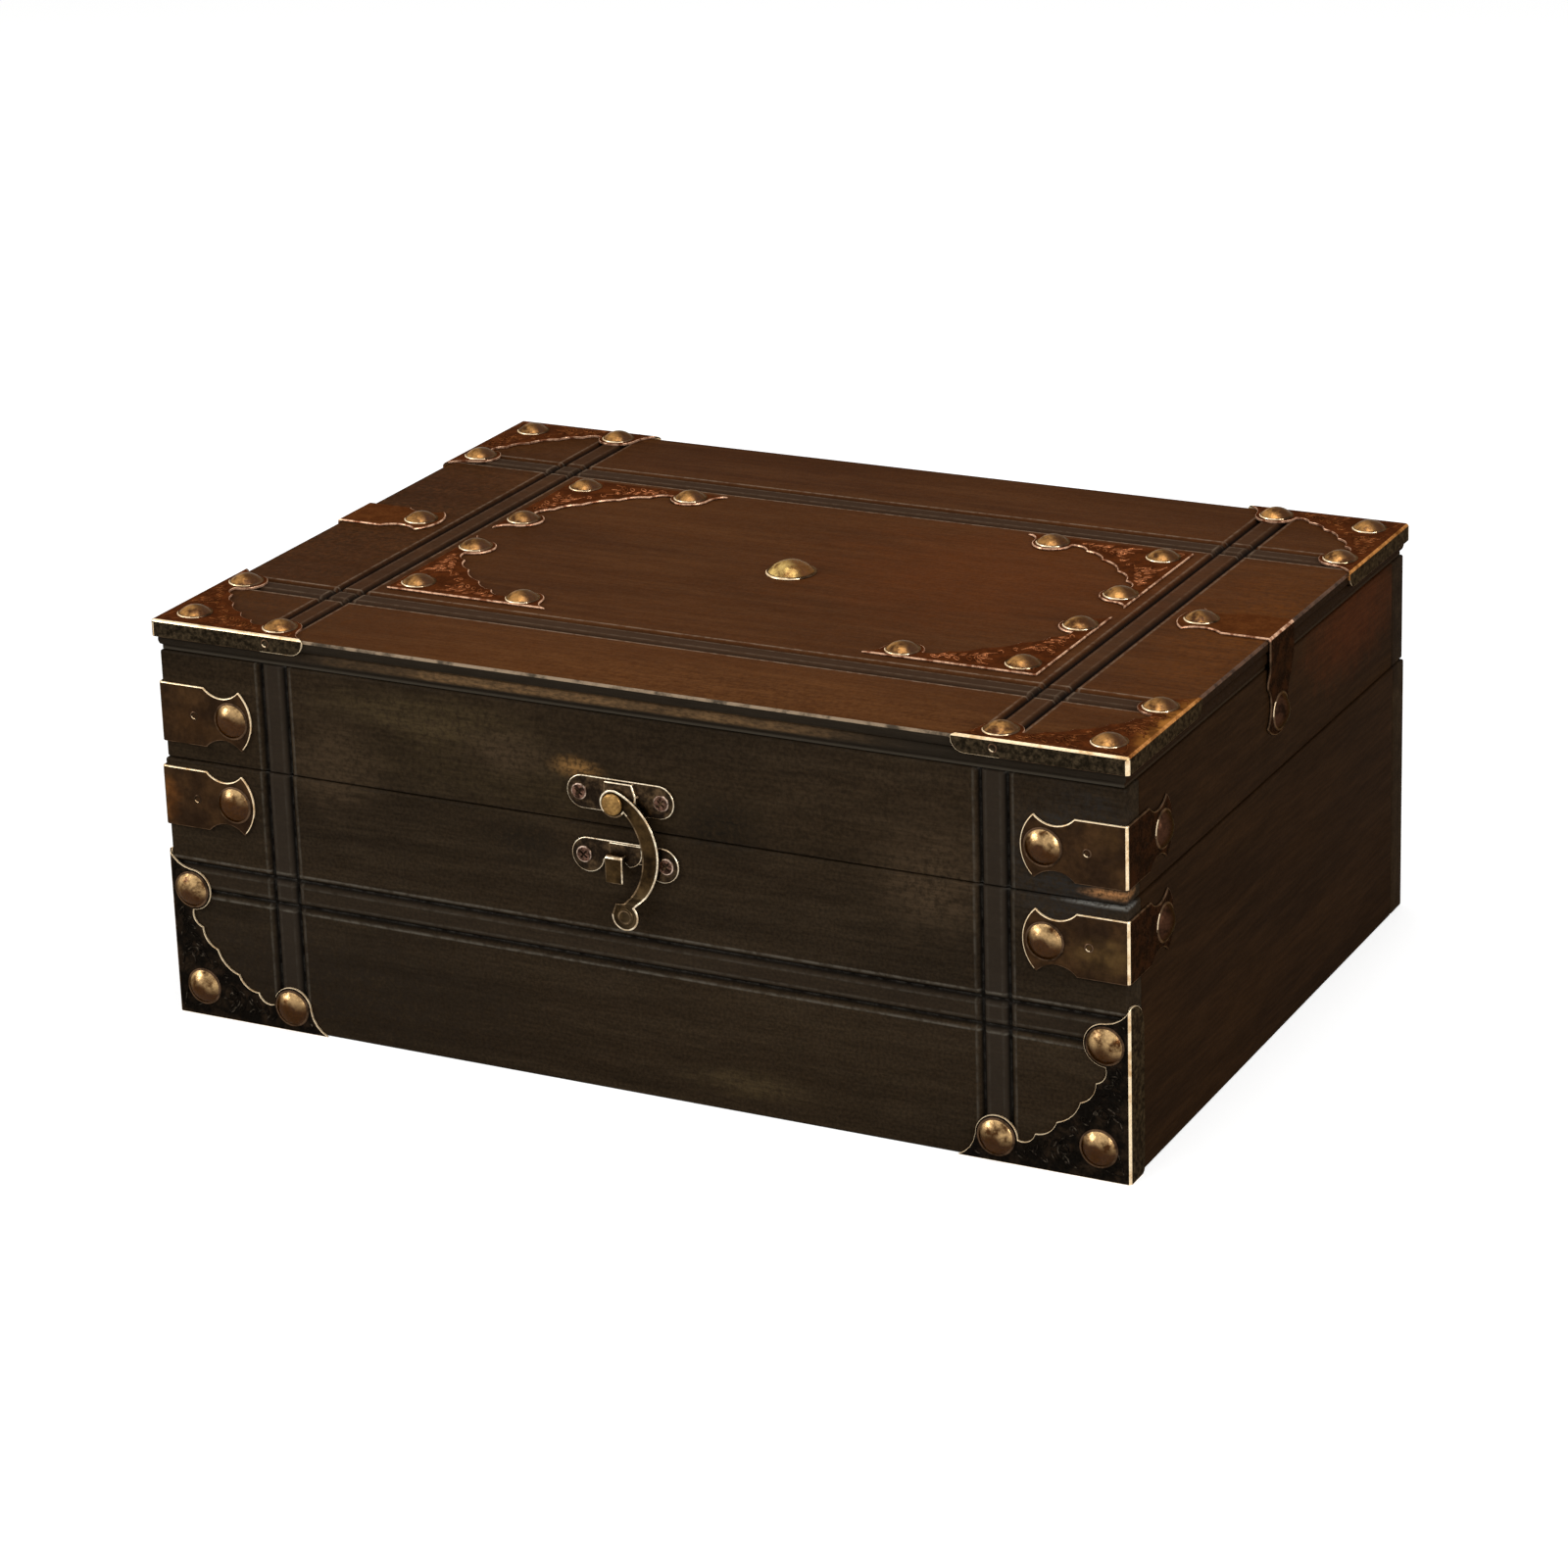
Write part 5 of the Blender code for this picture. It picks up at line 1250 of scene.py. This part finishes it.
# %% Corner plates, reliefs and studs in place
def set_plate(node, plate, relief_finish, matrix, body, shape=FOLDED):
    """One plate with its relief and its three studs, in place of a CAD plate."""
    sheet = copy_to(plate, f"{node}_plate", matrix)
    # On the left plates, rims that face left take the darker rim as painted shade.
    if matrix.translation.x < 0:
        shine(sheet, (-1, 0, 0), 1, 3)
    dress(sheet, body, "dark_bronze_plate", node)
    lines = coat(copy_to(relief, f"{node}_relief", matrix), relief_finish)
    dress(lines, body, "dark_bronze_plate")
    facing = (matrix.to_3x3() @ Vector((0, 0, 1))).normalized()
    _, end_stud, inset, corner_stud = shape
    for label, x, y in (("corner", corner_stud, corner_stud), ("along", end_stud, inset),
                        ("across", inset, end_stud)):
        set_stud(f"{node}_stud_{label}", matrix @ Vector((x, y, 0)), facing, body)


FLANGE_NAIL = 0.0375
FLANGE_NAIL_DROP = 0.0019
PANEL_X = UPRIGHT_PAIR_X - 0.0088
PANEL_Y = CROSS_PAIR_Y - 0.0095
plate_z = top_high.z + PLATE_OUT
for side, side_name in SIDES:
    for end, end_name in ((-1, "front"), (1, "back")):
        ending = f"corner_{end_name}_{side_name}"
        flip = Matrix.Diagonal((-side, -end, 1, 1))
        corner = (side * (top_high.x + PLATE_OUT), end * (top_high.y + PLATE_OUT), plate_z)
        set_plate(f"lid_{ending}", lid_corner, worn_relief, Matrix.Translation(corner) @ flip, "lid")
        corner = (side * PANEL_X, end * PANEL_Y, plate_z)
        set_plate(f"panel_{ending}", panel_corner, relief_metal, Matrix.Translation(corner) @ flip,
                  "lid", FLAT)
    nail_place = (side * (top_high.x - FLANGE_NAIL), -top_high.y - PLATE_OUT,
                  top_high.z - FLANGE_NAIL_DROP)
    dress(copy_to(nail, f"lid_corner_front_{side_name}_nail", aim(nail_place, (0, -1, 0))), "lid",
          "dark_bronze_plate")
    stand = stand_up(side * (base_high.x + PLATE_OUT), base_low.y - PLATE_OUT, 0)
    set_plate(f"base_corner_{side_name}", base_corner, dark_relief,
              stand @ Matrix.Diagonal((-side, 1, 1, 1)), "base")
discard(lid_corner, panel_corner, base_corner, relief)

# %% [markdown]
# ## Straps
# A strap is one strip of sheet with a waist and a rounded end on each side of its fold. It is
# traced flat, bisected at the fold, and one half is turned down by a right angle; the fold is
# then bevelled, which gives it its bend and its bright line, rubbed and with a painted highlight.

# %% Strap master
STRAP_LEG = 0.0306
STRAP_WIDTH = 0.0180
STRAP_STRAIGHT = 0.0150
STRAP_TIP = 0.0267
STRAP_NOTCH = 0.0026
STRAP_STUD = 0.0240
STRAP_NAIL = 0.0115


def strap_outline():
    half_width = STRAP_WIDTH / 2
    side = [(STRAP_STRAIGHT, half_width)]
    side += arc(side[0], (STRAP_TIP, half_width), -STRAP_NOTCH, 12)
    end = arc((STRAP_TIP, half_width), (STRAP_TIP, -half_width), STRAP_LEG - STRAP_TIP, 20)
    half = side + end + [(s, -t) for s, t in reversed(side)][1:]
    return half + [(-s, -t) for s, t in half]


def strap_master(name):
    """Strap folded at the Y axis: one leg along +X facing up, the other hanging down at x 0."""
    piece = coat(trace(name, strap_outline()), strap_plate, rim_metal, shaded_side_strap, shaded_rim)
    bisect(piece, (0, 0, 0), (1, 0, 0))
    edit(piece, bpy.ops.transform.rotate, "VERT", lambda vertex: vertex.co.x < -1e-6,
         value=radians(90), orient_axis="Y", center_override=(0, 0, 0))
    fold(piece, lambda edge: all(hypot(tip.x, tip.z) < 1e-6 for tip in ends(piece, edge)))
    return piece


def sheet_finish(piece):
    """Give a folded strap its thickness and bright rims, rubbed and painted as highlights; the hanging
    leg takes darker copies of the plate and rim finishes as painted shade.
    """
    thicken_sheet(piece)
    bevel_rims(piece, RIM_WIDTH)
    for face in piece.data.polygons:
        if face.center.z < -BEND * 1.02 and face.material_index < 2:
            face.material_index += 2
        elif face.normal.z > 0.97 and face.center.x < BEND * 1.02 and face.material_index == 1:
            face.material_index = 0
        elif face.normal.x < -0.97 and face.material_index == 1:
            face.material_index = 2
    smooth(piece, SHEET_SMOOTH)


strap = strap_master("strap_master")
edge_strap = copy_to(strap, "edge_strap_master")
sheet_finish(strap)
print("strap faces:", len(strap.data.polygons))

# %% Front straps in place
for side, side_name in SIDES:
    for body in ("lid", "base"):
        node = f"{body}_strap_{side_name}"
        corner = centre(node)
        corner.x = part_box(node)[max(side, 0)].x
        corner.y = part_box(node)[0].y
        matrix = Matrix.Translation(corner) @ Matrix(((-side, 0, 0, 0), (0, 0, -1, 0),
                                                      (0, 1, 0, 0), (0, 0, 0, 1)))
        piece = copy_to(strap, f"{node}_sheet", matrix)
        # Rims that face down, and on the left straps those that face left, take the darker rim as
        # painted shade.
        shine(piece, (0, 0, -1), 1, 3, 0.25)
        if side < 0:
            shine(piece, (-1, 0, 0), 1, 3)
        dress(piece, body, "dark_bronze_plate", node)
        for face_name, way, facing in (("front", (1, 0, 0), (0, -1, 0)),
                                       ("side", (0, 0, -1), (side, 0, 0))):
            stud_node = f"{body}_stud_{side_name}_{face_name}"
            set_stud(f"{stud_node}_domed", matrix @ (Vector(way) * STRAP_STUD), facing, body, stud_node)
            piece = copy_to(nail, f"{node}_nail_{face_name}",
                            aim(matrix @ (Vector(way) * STRAP_NAIL), facing))
            # On the side, a nail takes darker copies of the plate and rim finishes as painted shade,
            # with no painted highlight.
            if face_name == "side":
                piece.data.materials[1] = shaded_side_strap
                piece.data.materials[2] = shaded_rim
            dress(piece, body, "dark_bronze_plate")

# %% [markdown]
# The two straps on the lid's left and right edges step in below the moulding to lie on the
# wall. The hanging leg is bisected at a few levels and drawn in by a smooth share at each.

# %% Edge straps in place
STEP_START = PLATE_OUT + TOP_THICKNESS + 0.0002
STEP_HEIGHT = 0.0045
STEP_IN = top_high.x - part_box("lid_right")[1].x
for k in range(7):
    bisect(edge_strap, (0, 0, -STEP_START - STEP_HEIGHT * k / 6), (0, 0, 1))
shift_rows(edge_strap, along(0), lambda at: STEP_IN * eased((-STEP_START - at.z) / STEP_HEIGHT))
sheet_finish(edge_strap)
edge_strap.data.materials[0] = edge_strap_plate
edge_strap.data.materials[1] = copper_rim
for side, side_name in SIDES:
    node = f"lid_edge_strap_{side_name}"
    corner = (side * (top_high.x + PLATE_OUT), centre(node).y, plate_z)
    matrix = Matrix.Translation(corner) @ Matrix.Diagonal((-side, 1, 1, 1))
    dress(copy_to(edge_strap, f"{node}_sheet", matrix), "lid", "dark_bronze_plate", node)
    for face_name, point, facing in (("top", (STRAP_STUD, 0, 0), (0, 0, 1)),
                                     ("side", (STEP_IN, 0, -STRAP_STUD), (side, 0, 0))):
        set_stud(f"{node}_stud_{face_name}", matrix @ Vector(point), facing, "lid")
discard(strap, edge_strap)

# %% [markdown]
# ## The swing latch
# A small hook-and-catch latch holds the lid: a rounded plate with a raised middle carries the
# rivet, a crescent arm swings on it, and the arm drops behind a hook on the base's plate.

# %% Upper latch plate
LATCH_SHEET = 0.0007
BOSS_RISE = 0.0011


def rimmed(piece, width, finish, angle=50):
    """Bevel the sharp edges of a piece with the bright rim finish, a painted highlight; the third
    finish is a darker rim for painted shade.
    """
    bevel_rims(coat(piece, finish, latch_rim, shaded_latch_rim), width, 3, angle)
    smooth(piece, 40)


low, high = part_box("latch_plate")
plate_back = high.y
radius = (high.z - low.z) / 2
reach = (high.x - low.x) / 2 - radius
plate = trace("latch_plate_sheet", circle_run((reach, 0), radius, -90, 90, 20)
              + circle_run((-reach, 0), radius, 90, 270, 20))
thicken(plate, LATCH_SHEET)
half = radius - 0.0003
boss = trace("boss", [(-0.0056, -half), (0.0052, -half), (0.0060, half * 0.2), (0.0046, half),
                      (-0.0050, half)])
thicken(boss, LATCH_SHEET + BOSS_RISE)
edit(boss, bpy.ops.transform.resize, "VERT", lambda vertex: vertex.co.z > LATCH_SHEET,
     value=(0.88, 0.96, 1), center_override=(0, 0, 0))
rimmed(plate, 0.00028, latch_bronze)
rimmed(boss, 0.00030, latch_bronze, 20)
# The left edges of the raised middle take the darker rim as painted shade.
reslot(boss, 2, lambda face: face.material_index == 1 and face.center.x < -0.004)
latch = settle(join("latch_plate_raised", boss, plate),
               stand_up((low.x + high.x) / 2, plate_back, (low.z + high.z) / 2))
# Rims that face down and to the left take the darker rim as painted shade.
shine(latch, (-0.5, 0, -0.9), level=0.3)
dress(latch, "lid", "antique_bronze", "latch_plate")

# %% Rivet
RIVET_HEAD = 0.0031
RIVET_SHANK = 0.0013
RIVET_ROUND = 0.0007
PIVOT = centre("latch_rivet")
head_foot = plate_back - (LATCH_SHEET + BOSS_RISE)
rivet_rise = head_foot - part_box("latch_rivet")[0].y
rim = rivet_rise - RIVET_ROUND
lip = rivet_rise - 0.0011
section = [(0, 0), (RIVET_SHANK, 0), (RIVET_SHANK, lip), (RIVET_HEAD, lip)]
section += [(RIVET_HEAD * cos(radians(a)) ** 0.6, rim + RIVET_ROUND * sin(radians(a)))
            for a in (0, 18, 36, 54, 72)]
rivet = coat(spun("latch_rivet_domed", section + [(0, rivet_rise)], 36), rivet_brass)
dress(settle(rivet, stand_up(PIVOT.x, head_foot, PIVOT.z)), "lid", "tan_brass", "latch_rivet")
print("rivet stands out:", round(rivet_rise, 5))

# %% Arm outline
EYE_RADIUS = 0.00405
ARM_OUTER_RADIUS = 0.01945
ARM_LEAN = 67.3
ARM_END_LEAN = -38.8
ARM_TAPER = 0.00105
ARM_INNER_SHIFT = (-0.00400, -0.0009)
ARM_INNER_DROP = 0.0014
PAD_OFFSET = (-0.00554, -0.0053)
PAD_RADIUS = 0.0041
PAD_SPUR = (-0.0029, 0.0035)
PAD_STANDOFF = 0.0022
PAD_STEP_LOW = 0.0037
PAD_STEP_HIGH = 0.0055
ARM_THICKNESS = 0.0010
ARM_RIM = 0.00050
arm_reach = ARM_OUTER_RADIUS - EYE_RADIUS
outer = Vector((-arm_reach * cos(radians(ARM_LEAN)), -arm_reach * sin(radians(ARM_LEAN))))


def arm_outline():
    """Crescent from the eye round to the pad and back, about the pivot, and the pad's middle."""
    outside = circle_run(outer, ARM_OUTER_RADIUS, ARM_LEAN, ARM_END_LEAN, 30)
    end_x, end_z = outside[-1]
    pad = (end_x + PAD_OFFSET[0], end_z + PAD_OFFSET[1])
    rim = circle_run(pad, PAD_RADIUS, degrees(atan2(end_z - pad[1], end_x - pad[0])), -185, 24)
    spur = (pad[0] + PAD_SPUR[0], pad[1] + PAD_SPUR[1])
    inner = (outer[0] + ARM_INNER_SHIFT[0], outer[1] + ARM_INNER_SHIFT[1])
    radius = ARM_OUTER_RADIUS - ARM_TAPER
    start = asin((end_z - ARM_INNER_DROP - inner[1]) / radius)
    reach = hypot(*inner)
    spread = acos((reach ** 2 + EYE_RADIUS ** 2 - radius ** 2) / (2 * reach * EYE_RADIUS))
    meet = atan2(inner[1], inner[0]) + spread
    end = atan2(EYE_RADIUS * sin(meet) - inner[1], EYE_RADIUS * cos(meet) - inner[0])
    inside = circle_run(inner, radius, degrees(start), degrees(end), 26)
    eye = circle_run((0, 0), EYE_RADIUS, degrees(meet), ARM_LEAN - 360, 30)[1:-1]
    return outside + rim + [spur] + inside + eye, pad


# %% Arm
outline, (pad_x, pad_y) = arm_outline()
arm = thicken(trace("latch_arm_crescent", outline), ARM_THICKNESS)
edit(arm, bpy.ops.mesh.inset, "FACE", lambda face: face.normal.z > 0.9, thickness=ARM_RIM)
reslot(arm, 1, lambda face: face.normal.z > 0.9 and len(face.vertices) == 4)
step_low = pad_y + PAD_STEP_LOW
step_high = pad_y + PAD_STEP_HIGH
for k in range(6):
    bisect(arm, (0, step_low + (step_high - step_low) * k / 5, 0), (0, 1, 0))
shift_rows(arm, along(2), lambda at: PAD_STANDOFF * eased((step_high - at.y) / (step_high - step_low)))
rimmed(arm, 0.00030, arm_bronze, 60)
# The arm's inner edge takes the darker rim as painted shade; its outer edge keeps the painted
# highlight.
reslot(arm, 2, lambda face: face.material_index == 1
       and off_axis(face, *outer) < ARM_OUTER_RADIUS - 2 * ARM_RIM and face.center.y < -EYE_RADIUS * 0.6
       and not (face.center.y < pad_y + 0.001 and face.center.x < pad_x))
ring = coat(spun("pad_ring", [(0, -0.0002), (0.0024, -0.0002), (0.0026, 0.0001), (0.0024, 0.00035),
                              (0.0020, 0.0004), (0.0016, 0.0002), (0.0009, 0.00005), (0, 0)]),
            arm_bronze, latch_rim, shaded_latch_rim)
reslot(ring, 2, lambda face: 0.0014 < off_axis(face) < 0.0021)
settle(ring, Matrix.Translation((pad_x, pad_y, ARM_THICKNESS + PAD_STANDOFF)))
arm = settle(join("latch_arm_crescent", ring, arm), stand_up(PIVOT.x, head_foot - 0.0002, PIVOT.z))
dress(arm, "latch_arm", "antique_bronze", "latch_arm")

# %% Catch plate outline and raised middle
CATCH_WEB_LOW = -0.0008
CATCH_HEIGHT = 0.0102
low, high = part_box("catch_plate")
catch_back = high.y
radius = CATCH_HEIGHT / 2
joint = 180 - degrees(asin(CATCH_WEB_LOW / radius))
right_ear = circle_run(((high.x - low.x) / 2 - radius, 0), radius, joint - 360, 90, 30)
catch = trace("catch_plate_sheet", right_ear + [(-x, y) for x, y in reversed(right_ear)])
rimmed(thicken(catch, LATCH_SHEET), 0.00028, latch_bronze, 60)
raised = [(-0.0046, CATCH_WEB_LOW), (0.0004, CATCH_WEB_LOW)]
raised += arc((0.0006, CATCH_WEB_LOW - 0.0010), (0.0056, 0.0030), -0.0017, 10)
raised += [(0.0056, radius - 0.0003), (-0.0046, radius - 0.0003)]
middle = thicken(trace("catch_raised", raised), LATCH_SHEET + 0.0005)
rimmed(middle, 0.00025, latch_bronze, 25)
# The left edges of the raised middle take the darker rim as painted shade.
reslot(middle, 2, lambda face: face.material_index == 1 and face.center.x < 0.0002)

# %% Hook
HOOK_LEFT = -0.0049
HOOK_WIDTH = 0.0054
HOOK_TOP = 0.0016
HOOK_END = HOOK_TOP - 0.0079
HOOK_FOOT = 0.0003
hook_front = catch_back - low.y
hook_back = hook_front - LATCH_SHEET
side_section = [(HOOK_FOOT, HOOK_TOP - LATCH_SHEET), (hook_back, HOOK_TOP - LATCH_SHEET),
                (hook_back, HOOK_END), (hook_front, HOOK_END)]
side_section += circle_run((hook_front - BEND, HOOK_TOP - BEND), BEND, 0, 90, 5)
side_section.append((HOOK_FOOT, HOOK_TOP))
hook = thicken(trace("hook", side_section), HOOK_WIDTH)
rimmed(hook, 0.00034, arm_bronze, 60)
settle(hook, Matrix(((0, 0, 1, HOOK_LEFT), (0, 1, 0, 0), (1, 0, 0, 0), (0, 0, 0, 1))))
tidy(hook)
# The hook's left and lower edges take the darker rim as painted shade, and its faces that look up the
# bright rim as a painted highlight.
reslot(hook, 2, lambda face: face.material_index == 1
       and (face.center.x < HOOK_LEFT + 0.001 or face.center.y < HOOK_END + 0.001))
reslot(hook, 1, lambda face: face.normal.y > 0.3 and face.normal.z > 0.1)
# Rims of the catch that face down and to the left take the darker rim as painted shade.
shine(catch, (-0.5, -0.9, 0), level=0.3)
catch = settle(join("catch_plate_hooked", middle, hook, catch),
               stand_up((low.x + high.x) / 2, catch_back, high.z - radius))
dress(catch, "base", "antique_bronze", "catch_plate")
print("hook stands out:", round(hook_front, 5))

# %% Latch screws in place
for prefix, body in (("latch", "lid"), ("catch", "base")):
    for _, side_name in SIDES:
        set_screw(screw, f"{prefix}_screw_{side_name}", -1, body, "antique_bronze")

# %% [markdown]
# ## Hinges
# Two butt hinges join lid and base at the back. Their shape in the CAD is right, so each leaf
# starts as a copy of its node: doubled corners are merged, flat faces dissolved, and fine
# bevels added. The pins are spun anew.

# %% Hinges in place
PIN_CAP = 0.0003
for _, side_name in SIDES:
    for body in ("base", "lid"):
        node = f"hinge_{body}_leaf_{side_name}"
        piece = copy_to(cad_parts[node], f"{node}_eased")
        piece.data.materials.clear()
        tidy(coat(piece, hinge_steel))
        edit(piece, bpy.ops.mesh.dissolve_limited, angle_limit=radians(2))
        modifier(piece, "BEVEL", width=0.00012, segments=2, limit_method="ANGLE",
                 angle_limit=radians(40))
        smooth(piece)
        dress(piece, body, "dull_steel", node)
        for number in (1, 2):
            set_screw(steel_screw, f"hinge_{body}_screw_{side_name}_{number}", 1, body, "dull_steel")
    node = f"hinge_pin_{side_name}"
    low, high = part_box(node)
    radius = (high.z - low.z) / 2
    section = [(0, 0), (radius * 0.8, 0), (radius, 0.0001), (radius, PIN_CAP), (radius * 0.69, PIN_CAP)]
    section += [(r, high.x - low.x - h) for r, h in reversed(section)]
    place = centre(node)
    place.x = low.x
    pin = settle(coat(spun(f"{node}_headed", section, 24), hinge_steel), aim(place, (1, 0, 0)))
    dress(pin, "base", "dull_steel", node)
discard(stud, top_stud, nail, screw, steel_screw)
print("pins:", round(high.x - low.x, 4), "long and", round(2 * radius, 4), "thick")

# %% [markdown]
# ## Light and floor
# Soft boxes stand left and right, as in a small product studio, with a third above and a pale
# floor below. The world is white where the camera or a shiny surface looks at it, and dimmer as
# a lamp, so the background stays white without washing out the dark wood.

# %% Soft boxes
SOFT_BOXES = (("right_box", (1.6, -0.75, 0.80), 0.7, 16), ("left_box", (-1.35, -1.0, 0.85), 0.6, 13),
              ("top_box", (0.1, -0.3, 1.7), 1.0, 8))
for name, place, size, power in SOFT_BOXES:
    bpy.ops.object.light_add(type="AREA", location=place)
    lamp = bpy.context.object
    lamp.name = name
    lamp.data.shape = "SQUARE"
    lamp.data.size = size
    lamp.data.energy = power
    lamp.rotation_euler = (Vector((0, 0, 0.05)) - Vector(place)).to_track_quat("-Z", "Y").to_euler()

# %% World
WORLD_LIGHT = 0.45
world = bpy.data.worlds.new("studio")
world.use_nodes = True
bpy.context.scene.world = world
tree = world.node_tree
rays = add(tree, "ShaderNodeLightPath", {}, None)
seen = calc(tree, "MAXIMUM", calc(tree, "MAXIMUM", rays["Is Camera Ray"], rays["Is Glossy Ray"]),
            rays["Is Transmission Ray"])
put(tree, (1, 1, 1, 1), tree.nodes["Background"].inputs["Color"])
put(tree, ramp(tree, seen, 1 - WORLD_LIGHT, WORLD_LIGHT), tree.nodes["Background"].inputs["Strength"])

# %% Floor
bpy.ops.mesh.primitive_plane_add(size=16, location=(0, 0, 0))
floor_finish, tree, place = new_finish("pale_floor")
speckle = mask(tree, noise(tree, place, 900.0, 2.0), 0.3, 0.7)
rays = add(tree, "ShaderNodeLightPath", {}, None)
floor = coat(named("studio_floor"), set_shader(floor_finish, {
    "Base Color": blend(tree, speckle, (0.86, 0.86, 0.855, 1), (0.9, 0.9, 0.895, 1)), "Roughness": 0.9,
    "Specular IOR Level": 0.0, "Emission Color": (1, 1, 1, 1),
    "Emission Strength": times(tree, rays["Is Camera Ray"], 0.45)}))

# %% Measure and finish
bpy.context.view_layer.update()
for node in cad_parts.values():
    if not node.hide_render:
        print("CAD node still shown:", node.name)
